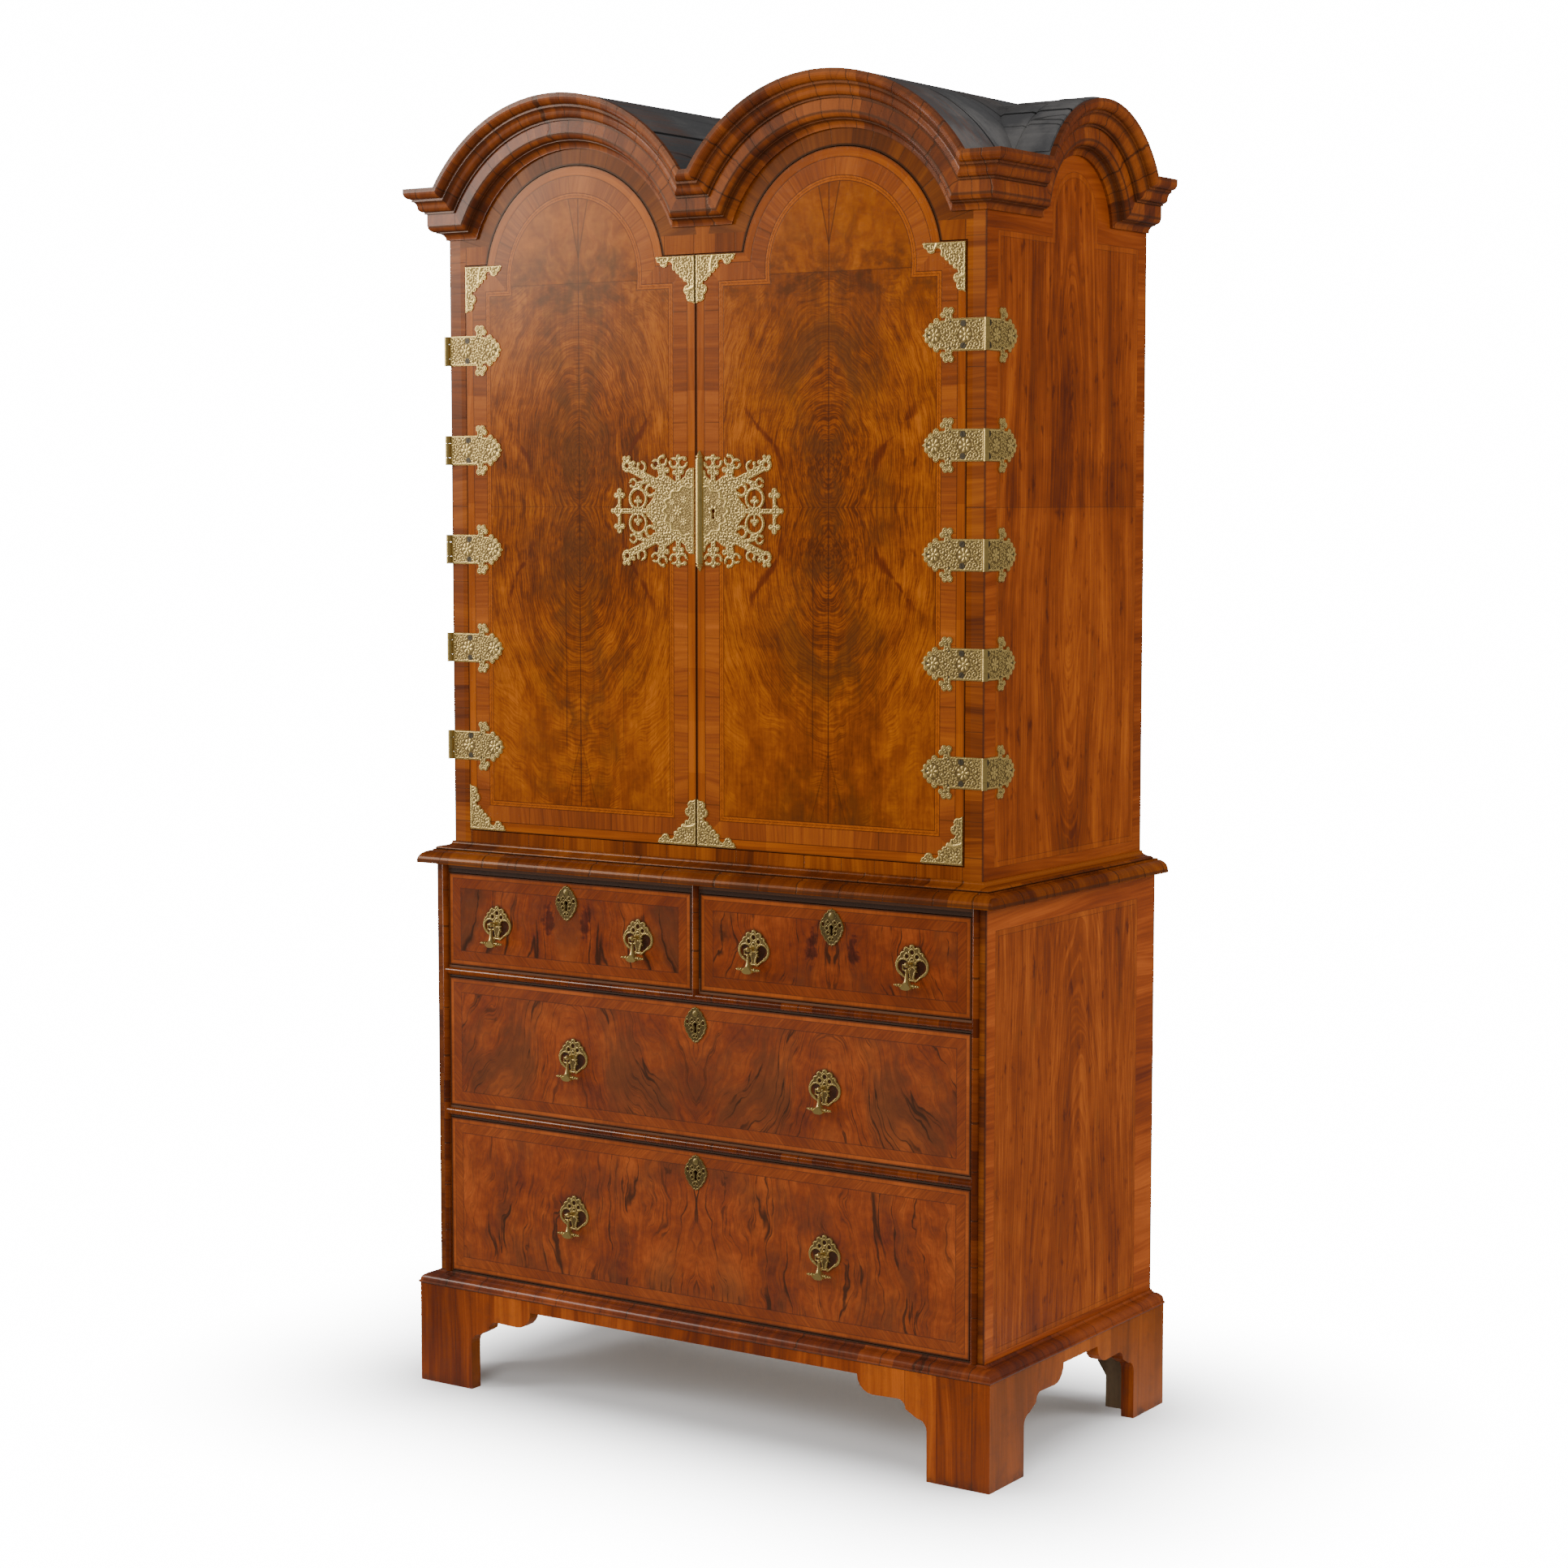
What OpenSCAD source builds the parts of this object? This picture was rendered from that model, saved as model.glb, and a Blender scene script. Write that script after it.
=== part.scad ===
// Cabinet on chest with a double dome, veneered in walnut.
// Millimetres. X runs to the right, Y from the front to the back, Z up from the floor.
// The origin is on the floor, under the middle of the whole piece.

/* [Chest] */
// Width of the chest over its sides
chest_w = 1040; // [900:5:1200]
// Depth of the chest from its front to its back
chest_d = 537; // [480:1:650]
// Thickness of the chest sides
chest_side_t = 24; // [20:1:32]
// Thickness of the chest floor
chest_floor_t = 23; // [16:1:30]
// Thickness of the chest top
chest_top_t = 21.6; // [16:0.2:30]
// Thickness of the back boards of chest and cabinet
back_t = 12; // [8:1:18]

/* [Plinth and base moulding] */
// Height of the bracket plinth
plinth_h = 164; // [130:1:200]
// How far the plinth stands out from the chest
plinth_out = 24.4; // [15:0.2:40]
// Thickness of the plinth boards
plinth_t = 22; // [14:1:30]
// Width of a bracket foot at the floor, on the front
foot_w_front = 108; // [80:1:150]
// Width of a bracket foot at the floor, on the sides
foot_w_side = 103; // [80:1:130]
// Height of the apron between the feet
apron_h = 18.4; // [12:0.2:30]
// Height of the base moulding
base_mould_h = 21; // [14:1:30]
// How far the base moulding stands out from the chest
base_mould_out = 27; // [20:0.5:45]
// Side of the square blocks behind the feet
foot_block = 46; // [30:1:60]

/* [Drawers] */
// Height of the lower drawer front
lower_drawer_h = 256; // [180:1:320]
// Height of the middle drawer front
middle_drawer_h = 212; // [150:1:280]
// Height of the two upper drawer fronts
upper_drawer_h = 151; // [110:1:200]
// Thickness of the rails between the drawers
rail_t = 19; // [14:1:28]
// Thickness of the rail under the chest top
top_rail_t = 15; // [12:1:28]
// Depth of the rails from front to back
rail_d = 60; // [40:1:90]
// Width of the upright between the upper drawers
divider_w = 16; // [12:1:30]
// Thickness of the drawer fronts
front_t = 20; // [16:1:26]
// Thickness of the drawer sides and backs
lining_t = 12; // [7:1:16]
// Thickness of the drawer bottoms
bottom_t = 8; // [5:1:12]
// Height of a drawer bottom above the lower edge of the drawer sides
bottom_up = 8; // [7:0.5:14]
// How much lower the drawer sides are than the front
lining_drop = 12; // [6:1:30]
// Free space behind the drawers
drawer_back_gap = 25; // [5:1:80]
// Width of the runners under the drawers
runner_w = 22; // [14:1:40]
// Height of the drawer stops
stop_h = 6; // [4:0.5:6.5]
// Radius of the half round beads round the drawers
bead_r = 6; // [4:0.5:7]

/* [Waist mouldings] */
// How far the waist moulding stands out from the chest
waist_out = 23.7; // [14:0.1:40]
// Height of the moulding that holds the cabinet in place
seat_h = 12.6; // [8:0.2:20]
// How far that moulding stands out from the cabinet
seat_out = 23.4; // [12:0.2:26]

/* [Cabinet] */
// How far the cabinet sides stand in from the chest sides
cab_inset = 20; // [10:1:40]
// How far the cabinet back stands in from the chest back
cab_back_in = 13; // [0:1:30]
// How far the cabinet front is set back from the chest front
cab_setback = 23; // [23:1:60]
// Height of the frame head between the door shoulders and the cornice
head_h = 42.4; // [40:0.2:80]
// Thickness of the cabinet sides
cab_side_t = 22; // [16:1:30]
// Thickness of the frame round the doors
frame_t = 22; // [16:1:30]
// Width of the stiles that show beside the doors
stile_w = 32.5; // [26:0.5:50]
// Height of the sill under the doors
sill_h = 32; // [20:1:60]
// Thickness of the cabinet floor
cab_floor_t = 18; // [12:1:28]
// Thickness of the shelves
shelf_t = 18; // [12:1:26]
// Free space between the lock on the door and the shelves
shelf_front_gap = 4; // [1:0.5:40]
// Heights of the shelves above the cabinet floor
shelf_heights = [258, 500, 742]; // [150:1:850]
// Height and width of the strips that carry the shelves
rest_h = 18; // [10:1:30]
// Width of those strips
rest_w = 12; // [8:1:20]

/* [Doors] */
// Thickness of the doors
door_t = 22; // [16:1:26]
// How far the doors stand in front of the frame
door_proud = 0.3; // [0.2:0.1:3]
// Height of a door from its lower edge to its shoulder
door_h = 911; // [780:1:920]
// Width of the frame head between the door arches and the cornice domes
arch_head = 31; // [24:0.5:60]
// How far the centre of the door arches lies above that of the domes
arch_lift = 4.1; // [0:0.1:6]
// Where the doors meet, left of the middle
meeting_x = 13; // [0:0.5:30]
// Gap between the two doors
meeting_gap = 2.5; // [2:0.1:4]
// Gap between the doors and their frame
door_gap = 1.3; // [1:0.1:3]

/* [Cornice and domes] */
// Height of the cornice
cornice_h = 81; // [60:1:90]
// How far the cornice stands out from the cabinet
cornice_out = 53; // [40:1:55]
// Width of the lip in front of the roof boards
cornice_lip = 8; // [5:1:9]
// Distance of the front domes from the middle
dome_valley = 42.5; // [38:0.5:60]
// Distance of the front domes from the corners of the cabinet
dome_corner = 44.5; // [40:0.5:60]
// How far the centre of the front domes lies below the cornice
front_dome_drop = 75; // [60:1:80]
// Radius of the lower edge of the cornice on the side domes
side_dome_r = 109.2; // [80:0.2:120]
// How far the centre of the side domes lies below the cornice
side_dome_drop = 9; // [5:1:20]
// Distance of the side domes from the cabinet front
side_dome_y = 270; // [240:1:300]
// Thickness of the roof boards
roof_t = 7.8; // [5:0.2:10]

/* [Hinges] */
// Height of the lowest hinge above the lower edge of the door
hinge_low = 138; // [120:1:160]
// Distance of the highest hinge below the shoulder of the door
hinge_high = 135; // [120:1:160]
// Number of hinges on each door
hinge_n = 5; // [2:1:5]
// Height of a hinge over its barrel
hinge_h = 47; // [36:1:56]
// Length of the leaf on the door
door_leaf_l = 110; // [96:1:130]
// Length of the leaf on the cabinet side
side_leaf_l = 95; // [80:1:120]
// Thickness of the brass leaves
leaf_t = 1.6; // [1:0.1:2.2]
// Radius of the hinge barrels
barrel_r = 4.2; // [3.4:0.1:5]
// Radius of the hinge pins
hinge_pin_r = 1.7; // [1.2:0.1:2.2]
// How far the doors open, in degrees
door_swing = 170; // [90:5:170]

/* [Door lock and mounts] */
// Thickness of the pierced brass plates
plate_t = 1.6; // [1:0.1:2.5]
// How far the lock plate reaches from the meeting line
lock_plate_l = 163; // [130:1:180]
// Radius of the heads of the pins in those plates
plate_pin_r = 1.8; // [1:0.1:2.5]
// Radius of the half round bar over the meeting line
bar_r = 7; // [5:0.5:8]
// Length of the straight part of that bar
bar_l = 160; // [120:1:180]
// Height of the lock above the lower edge of the door
lock_z = 520; // [400:1:600]
// Distance of the keyhole from the meeting line
key_x = 33; // [25:1:40]
// Radius of the round top of the door keyhole
key_r = 3.4; // [2.5:0.1:4]
// Length of the corner mounts along the door edges
corner_l = 74; // [55:1:80]
// Width, height and depth of the box lock on the back of the right door
lock_case = [66, 62, 15]; // [12:1:80]
// Height of the lock bolt
lock_bolt_h = 14; // [10:1:20]
// Thickness of the lock bolt
lock_bolt_t = 6; // [4:0.5:8]
// Travel of the lock bolt
lock_throw = 12; // [8:1:14]
// Width of the two flat bolts on the left door
flat_bolt_w = 12; // [8:1:18]
// Length of the flat bolts
flat_bolt_l = 110; // [80:1:150]
// Travel of the flat bolts
flat_bolt_throw = 12; // [8:1:12]

/* [Drawer fittings] */
// Width of a handle plate
pull_w = 58; // [44:1:66]
// Height of a handle plate
pull_h = 58; // [44:1:66]
// Distance of the handles of an upper drawer from its middle
upper_pull_x = 142; // [100:1:180]
// Distance of the handles of a long drawer from its middle
long_pull_x = 240; // [150:1:330]
// Length of the post that carries a drop handle
post_l = 15; // [12:0.5:17]
// Length of a drop handle below its pin
drop_l = 38; // [28:1:44]
// Radius of the pin of a drop handle
drop_pin_r = 1; // [0.8:0.1:1.3]
// Width of a keyhole plate
escutcheon_w = 44; // [34:1:50]
// Height of a keyhole plate
escutcheon_h = 58; // [44:1:62]
// Distance of the keyhole plates from the top of the drawer
escutcheon_down = 33; // [30:1:40]
// Width, height and depth of a drawer lock
drawer_lock = [60, 40, 10]; // [8:1:70]
// Width of a drawer lock bolt
drawer_bolt_w = 22; // [14:1:30]
// Thickness of a drawer lock bolt
drawer_bolt_t = 4; // [3:0.5:5]
// Travel of a drawer lock bolt
drawer_bolt_throw = 8; // [5:0.5:8]

/* [Clearances] */
// Gap round the drawer fronts
drawer_gap = 1.2; // [0.8:0.1:3]
// Gap between the drawer sides and the carcase
lining_gap = 2; // [1:0.5:5]
// Running clearance of sliding and turning pieces
run_gap = 0.3; // [0.2:0.05:0.5]

/* [Hidden] */
$fn = 48;

// Colours of the woods and metals
WALNUT = [0.52, 0.27, 0.11];
WALNUT_DARK = [0.36, 0.18, 0.09];
WALNUT_LIGHT = [0.68, 0.38, 0.17];
OAK = [0.66, 0.5, 0.32];
PINE_BLACK = [0.12, 0.12, 0.12];
BRASS = [0.72, 0.6, 0.33];
IRON = [0.3, 0.29, 0.28];

// A little more than a cut needs
over = 1;

// Half widths and faces
chest_x = chest_w / 2;
chest_in_x = chest_x - chest_side_t;
cab_x = chest_x - cab_inset;
cab_in_x = cab_x - cab_side_t;
cab_back_y = chest_d - cab_back_in;
door_y = cab_setback - door_proud;
door_back_y = door_y + door_t;

// Heights, from the floor up
floor_z = plinth_h + chest_floor_t;
lower_rail_z = floor_z + lower_drawer_h + 2 * drawer_gap;
upper_rail_z = lower_rail_z + rail_t + middle_drawer_h + 2 * drawer_gap;
top_rail_z = upper_rail_z + rail_t + upper_drawer_h + 2 * drawer_gap;
chest_board_z = top_rail_z + top_rail_t;
cab_z = chest_board_z + chest_top_t;
sill_z = cab_z + sill_h;
door_z = sill_z + door_gap;
shoulder_z = door_z + door_h;
cornice_z = shoulder_z + head_h;
front_dome_z = cornice_z - front_dome_drop;
door_arch_z = front_dome_z + arch_lift;
side_dome_z = cornice_z - side_dome_drop;
side_dome_mid_y = cab_setback + side_dome_y;
// Height of the seat of the roof boards above the lower edge of the cornice
roof_seat_h = cornice_h - roof_t;

// Front domes of the cornice and arched tops of the doors
front_dome_r = (cab_x - dome_corner - dome_valley) / 2;
dome_x = dome_valley + front_dome_r;
door_arch_r = front_dome_r - arch_head;

// The middle of the whole piece from front to back
front_reach = max(cornice_out - cab_setback, base_mould_out);
mid_y = (chest_d - front_reach) / 2;

// Helpers

// Points of an arc round c from angle a to angle b in n steps
function arc(c, r, a, b, n = 5) =
    [for (i = [0:n]) c + r * [cos(a + (b - a) * i / n), sin(a + (b - a) * i / n)]];

// Points of an arc with two radii
function oval(c, rx, ry, a, b, n = 6) =
    [for (i = [0:n]) c + [rx * cos(a + (b - a) * i / n), ry * sin(a + (b - a) * i / n)]];

// A box from one corner to the opposite one
module block(a, b) {
    translate(a) cube(b - a);
}

// A flat outline in X and Z, given a thickness from y0 to y1
module slab_xz(y0, y1) {
    translate([0, y1, 0]) rotate([90, 0, 0]) linear_extrude(y1 - y0) children();
}

// A flat outline in Y and Z, given a thickness from x0 to x1
module slab_yz(x0, x1) {
    translate([x0, 0, 0]) rotate([90, 0, 90]) linear_extrude(x1 - x0) children();
}

// The same shape on the left and on the right
module both_sides() {
    children();
    mirror([1, 0, 0]) children();
}

// Puts the origin under the middle of the piece
module place() {
    translate([0, -mid_y, 0]) children();
}

// Plan of the front run of a moulding that is mitred at both corners
module front_plan(x0, y0, out) {
    polygon([[-x0, y0], [x0, y0], [x0 + out + over, y0 - out - over], [-x0 - out - over, y0 - out - over]]);
}

// Plan of the right run of the same moulding, as far as y1
module side_plan(x0, y0, y1, out) {
    polygon([[x0, y0], [x0 + out + over, y0 - out - over], [x0 + out + over, y1], [x0, y1]]);
}

// Front run of a profile whose X is the reach from the wall and whose Y is the height
module front_run(profile, x0, y0, z0, out, h) {
    intersection() {
        translate([x0 + out, y0, z0]) rotate([90, 0, -90]) linear_extrude(2 * (x0 + out)) polygon(profile);
        translate([0, 0, z0 - over]) linear_extrude(h + 2 * over) front_plan(x0, y0, out);
    }
}

// Right run of the same profile
module side_run(profile, x0, y0, y1, z0, out, h) {
    intersection() {
        translate([x0, y1, z0]) rotate([90, 0, 0]) linear_extrude(y1 - y0 + out) polygon(profile);
        translate([0, 0, z0 - over]) linear_extrude(h + 2 * over) side_plan(x0, y0, y1, out);
    }
}

// A moulding round the front and both sides
module three_sided(profile, x0, y0, y1, z0, out, h) {
    front_run(profile, x0, y0, z0, out, h);
    both_sides() side_run(profile, x0, y0, y1, z0, out, h);
}

// Plinth

// Heights of the scrolled bracket, measured down from the top of the plinth
knee_down = 87;
knee_r = 17;
step_down = 59;
step_r = 14;
nose_r = 28;
// Widths of its flat stretches
knee_flat = 20;
nose_flat = 44;

// Outline of a bracket from the inner edge of its foot, u inwards
function bracket() = concat(
    [[0, 0]],
    arc([knee_r, plinth_h - knee_down], knee_r, 180, 90),
    arc([knee_r + knee_flat + step_r, plinth_h - step_down], step_r, 180, 90),
    arc([knee_r + knee_flat + step_r + nose_flat, plinth_h - apron_h], nose_r, -90, 0)
);

// Outline of a plinth board with a foot at each end, from u = 0 to u = w
module bracket_board(w, foot) {
    left = [for (p = bracket()) [foot + p.x, p.y]];
    right = [for (i = [len(left) - 1:-1:0]) [w - left[i].x, left[i].y]];
    polygon(concat([[0, plinth_h], [0, 0]], left, right, [[w, 0], [w, plinth_h]]));
}

module bracket_plinth() {
    x0 = chest_x + plinth_out;
    color(WALNUT) place() {
        intersection() {
            slab_xz(-plinth_out, -plinth_out + plinth_t)
                translate([-x0, 0]) bracket_board(2 * x0, foot_w_front);
            translate([0, 0, -over]) linear_extrude(plinth_h + 2 * over)
                front_plan(x0 - plinth_t, -plinth_out + plinth_t, plinth_t);
        }
        both_sides() intersection() {
            slab_yz(x0 - plinth_t, x0)
                translate([-plinth_out, 0]) bracket_board(chest_d + plinth_out, foot_w_side);
            translate([0, 0, -over]) linear_extrude(plinth_h + 2 * over)
                side_plan(x0 - plinth_t, -plinth_out + plinth_t, chest_d, plinth_t);
        }
    }
}

// Outline of the sloping bracket across the back of a rear foot
module rear_bracket_outline(w) {
    polygon([[0, 0], [foot_block, 0], [w, plinth_h - apron_h], [w, plinth_h], [0, plinth_h]]);
}

module plinth_blocks() {
    inner_x = chest_x + plinth_out - plinth_t;
    inner_y = plinth_t - plinth_out;
    rail_h = apron_h - 2 * over;
    color(OAK) place() {
        both_sides() {
            // Square block behind the front foot
            block([inner_x - foot_block, inner_y, 0], [inner_x, inner_y + foot_block, plinth_h]);
            // Bracket across the back, behind the rear foot
            slab_xz(chest_d - plinth_t, chest_d)
                translate([inner_x, 0]) mirror([1, 0]) rear_bracket_outline(2 * foot_block + foot_w_side / 2);
            // Block in that corner
            block([inner_x - foot_block, chest_d - plinth_t - foot_block, 0],
                  [inner_x, chest_d - plinth_t, plinth_h]);
            // Batten along the side
            block([inner_x - foot_block, inner_y + foot_block, plinth_h - rail_h],
                  [inner_x, chest_d - plinth_t - foot_block, plinth_h]);
        }
        // Batten along the front
        block([foot_block - inner_x, inner_y, plinth_h - rail_h],
              [inner_x - foot_block, inner_y + foot_block, plinth_h]);
    }
}

// Base moulding: a bead below, an ovolo and a small hollow above
function base_profile(out = base_mould_out, h = base_mould_h) = concat(
    [[0, 0]],
    arc([out - 0.12 * h, 0.14 * h], 0.12 * h, -80, 90, 6),
    oval([0.36 * out, 0.34 * h], 0.54 * out, 0.46 * h, 0, 90),
    [[0.26 * out, 0.8 * h]],
    oval([0.26 * out, h], 0.16 * out, 0.15 * h, 270, 180, 4),
    [[0, h]]
);

module base_moulding() {
    color(WALNUT_DARK) place()
        three_sided(base_profile(), chest_x, 0, chest_d, plinth_h, base_mould_out, base_mould_h);
}

// Chest carcase

module chest_side() {
    block([chest_in_x, 0, plinth_h], [chest_x, chest_d, chest_board_z]);
}

module chest_side_left() {
    color(WALNUT) place() mirror([1, 0, 0]) chest_side();
}

module chest_side_right() {
    color(WALNUT) place() chest_side();
}

module chest_boards() {
    color(OAK) place() {
        block([-chest_in_x, 0, plinth_h], [chest_in_x, chest_d - back_t, floor_z]);
        block([-chest_x, 0, chest_board_z], [chest_x, chest_d, cab_z]);
    }
}

module chest_back() {
    color(OAK) place() block([-chest_in_x, chest_d - back_t, plinth_h], [chest_in_x, chest_d, chest_board_z]);
}

// Where the lock bolts go: depth of the slot behind the front face, and its clearance
bolt_y = front_t + (drawer_lock[2] - drawer_bolt_t) / 2;
slot_gap = 1;

// Slot in the underside of a rail for a drawer lock bolt
module bolt_slot(x, z) {
    block([x - drawer_bolt_w / 2 - slot_gap, bolt_y - slot_gap, z - over],
          [x + drawer_bolt_w / 2 + slot_gap, bolt_y + drawer_bolt_t + slot_gap, z + drawer_bolt_throw + slot_gap]);
}

// Middle of an upper drawer
upper_x = (chest_in_x + divider_w / 2) / 2;

module drawer_rails() {
    color(WALNUT_DARK) place() {
        difference() {
            block([-chest_in_x, 0, lower_rail_z], [chest_in_x, rail_d, lower_rail_z + rail_t]);
            bolt_slot(0, lower_rail_z);
        }
        difference() {
            block([-chest_in_x, 0, upper_rail_z], [chest_in_x, rail_d, upper_rail_z + rail_t]);
            bolt_slot(0, upper_rail_z);
        }
        difference() {
            block([-chest_in_x, 0, top_rail_z], [chest_in_x, rail_d, chest_board_z]);
            bolt_slot(-upper_x, top_rail_z);
            bolt_slot(upper_x, top_rail_z);
        }
        block([-divider_w / 2, 0, upper_rail_z + rail_t], [divider_w / 2, rail_d, top_rail_z]);
    }
}

// Small block that stops a drawer flush with the carcase
module drawer_stop(x, z) {
    stop_w = 30;
    block([x - stop_w / 2, front_t + run_gap, z], [x + stop_w / 2, rail_d - over, z + stop_h]);
}

module drawer_runners() {
    back_y = chest_d - back_t;
    board_t = rail_t / 2;
    color(OAK) place() {
        for (z = [lower_rail_z, upper_rail_z]) {
            both_sides() block([chest_in_x - runner_w, rail_d, z], [chest_in_x, back_y, z + rail_t]);
        }
        // Dust boards between the runners
        block([runner_w - chest_in_x, rail_d, lower_rail_z],
              [chest_in_x - runner_w, back_y, lower_rail_z + board_t]);
        both_sides() block([runner_w, rail_d, upper_rail_z],
                           [chest_in_x - runner_w, back_y, upper_rail_z + board_t]);
        // Middle runner and the guide between the upper drawers
        block([-runner_w, rail_d, upper_rail_z], [runner_w, back_y, upper_rail_z + rail_t]);
        block([-divider_w / 2, rail_d, upper_rail_z + rail_t],
              [divider_w / 2, back_y, upper_rail_z + rail_t + upper_drawer_h / 2]);
        // Drawer stops
        both_sides() {
            drawer_stop(long_pull_x, floor_z);
            drawer_stop(long_pull_x, lower_rail_z + rail_t);
            drawer_stop(upper_x, upper_rail_z + rail_t);
        }
    }
}

// A half round bead that runs to the right along X from x0 to x1
module bead_x(x0, x1, z) {
    intersection() {
        translate([x0, 0, z]) rotate([0, 90, 0]) cylinder(r = bead_r, h = x1 - x0);
        block([x0 - over, -bead_r - over, z - bead_r], [x1 + over, 0, z + bead_r]);
    }
}

// A half round bead that stands upright from z0 to z1
module bead_z(x, z0, z1) {
    intersection() {
        translate([x, 0, z0]) cylinder(r = bead_r, h = z1 - z0);
        block([x - bead_r, -bead_r - over, z0 - over], [x + bead_r, 0, z1 + over]);
    }
}

module carcase_beads() {
    edge = chest_in_x + over + bead_r;
    color(WALNUT_DARK) place() {
        union() {
            both_sides() bead_z(edge, plinth_h + base_mould_h, chest_board_z);
            bead_x(-edge, edge, lower_rail_z + rail_t / 2);
            bead_x(-edge, edge, upper_rail_z + rail_t / 2);
            bead_z(0, upper_rail_z + rail_t / 2, chest_board_z);
        }
    }
}

// Waist

// Waist moulding: a thumb that swells out to its lower edge
function waist_profile(out = waist_out, h = chest_top_t) = concat(
    [[0, 0], [out, 0]],
    oval([0.28 * out, 0.14 * h], 0.72 * out, 0.76 * h, 0, 90, 7),
    [[0.22 * out, 0.9 * h], [0.22 * out, h], [0, h]]
);

module waist_moulding() {
    color(WALNUT) place()
        three_sided(waist_profile(), chest_x, 0, chest_d, chest_board_z, waist_out, chest_top_t);
}

// Seat moulding: a bead below and a hollow above
function seat_profile(out = seat_out, h = seat_h) = concat(
    [[0, 0]],
    arc([out - 0.14 * h, 0.14 * h], 0.14 * h, -90, 90, 4),
    oval([0.86 * out, 0.86 * h], 0.7 * out, 0.5 * h, 270, 180, 5),
    [[0.16 * out, h], [0, h]]
);

module seat_moulding() {
    color(WALNUT) place()
        three_sided(seat_profile(), cab_x, cab_setback, cab_back_y, cab_z, seat_out, seat_h);
}

// Cabinet carcase

// Outline of a cabinet side, with its dome
module side_outline() {
    y0 = cab_setback;
    polygon([[y0, cab_z], [cab_back_y, cab_z], [cab_back_y, cornice_z + roof_seat_h],
             [y0, cornice_z + roof_seat_h]]);
    translate([side_dome_mid_y, side_dome_z]) circle(r = side_dome_r + roof_seat_h);
}

module cabinet_side() {
    slab_yz(cab_in_x, cab_x) side_outline();
}

module cabinet_side_left() {
    color(WALNUT) place() mirror([1, 0, 0]) cabinet_side();
}

module cabinet_side_right() {
    color(WALNUT) place() cabinet_side();
}

module cabinet_floor() {
    color(OAK) place()
        block([-cab_in_x, cab_setback + frame_t, cab_z], [cab_in_x, cab_back_y - back_t, cab_z + cab_floor_t]);
}

// Outline of the front frame and of the back, with both domes
module front_outline() {
    polygon([[-cab_in_x, cab_z], [cab_in_x, cab_z], [cab_in_x, cornice_z + roof_seat_h],
             [-cab_in_x, cornice_z + roof_seat_h]]);
    intersection() {
        for (s = [-1, 1]) translate([s * dome_x, front_dome_z]) circle(r = front_dome_r + roof_seat_h, $fn = 96);
        translate([-cab_in_x, cornice_z]) square([2 * cab_in_x, front_dome_r + cornice_h]);
    }
}

module cabinet_back() {
    color(OAK) place() slab_xz(cab_back_y - back_t, cab_back_y) front_outline();
}

// Outline of both doors together, grown by g all round
module doors_outline(g) {
    x0 = cab_x - stile_w;
    translate([-x0 - g, door_z - g]) square([2 * (x0 + g), door_h + 2 * g]);
    for (s = [-1, 1]) translate([s * dome_x, door_arch_z]) circle(r = door_arch_r + g, $fn = 96);
}

module door_frame() {
    stop_t = 12;
    stop_w = 10;
    stop_y = door_back_y + run_gap;
    edge = cab_x - stile_w - stop_w;
    color(WALNUT) place() {
        slab_xz(cab_setback, cab_setback + frame_t) difference() {
            front_outline();
            doors_outline(door_gap);
        }
        // Strips that the doors close against
        both_sides() block([edge, max(stop_y, cab_setback + frame_t), cab_z + cab_floor_t],
                           [cab_in_x, stop_y + stop_t, shoulder_z]);
    }
}

// Cornice

// Members of the cornice, drawn on a height of 81 and a reach of 53
member_h = 81;
member_out = 53;
function member(list) = [for (p = list) [p.x * cornice_out / member_out, p.y * cornice_h / member_h]];
function cornice_profile() = concat(
    [[0, 0]],
    member([[4, 0]]),
    member(arc([14, 1], 10, 180, 90)),
    member([[15.5, 11], [15.5, 12.5]]),
    member(arc([15.5, 22], 9.5, -90, 0)),
    member([[25.5, 22], [25.5, 41], [28.5, 41], [28.5, 44]]),
    member(arc([28.5, 52], 8, -90, 0)),
    member(arc([46, 52], 9.5, 180, 122, 4)),
    member([[43, 60.4], [43, 63.5]]),
    member(arc([43, 74], 10, -90, 0)),
    [[cornice_out, cornice_h], [cornice_out - cornice_lip, cornice_h],
     [cornice_out - cornice_lip, roof_seat_h], [0, roof_seat_h]]
);

// Half the span of a dome at height h above the lower edge of the cornice
function half_span(h, r, drop) = sqrt(pow(r + h, 2) - pow(drop + h, 2));

// Everything that belongs to the arched run: its sides follow the mitres with the straight runs
module arch_region(mid, r, drop) {
    steps = 9;
    last = steps + 1;
    // A hair wider than the true mitre, so that no edge of almost no length is left at its top
    hair = 0.05;
    side = [for (i = [0:last]) let (h = cornice_h * i / steps) [half_span(h, r, drop) + hair, cornice_z + h]];
    top = r + 2 * cornice_h;
    right = [for (i = [last:-1:0]) [mid + side[i].x, side[i].y]];
    polygon(concat(
        [for (p = side) [mid - p.x, p.y]],
        [[mid - side[last].x, cornice_z + top], [mid + side[last].x, cornice_z + top]],
        right
    ));
}

// The cornice turned round the centre of a dome
module arch_ring(r) {
    rotate([90, 0, 0]) rotate_extrude($fn = 128) polygon([for (p = cornice_profile()) [r + p.y, p.x]]);
}

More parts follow.
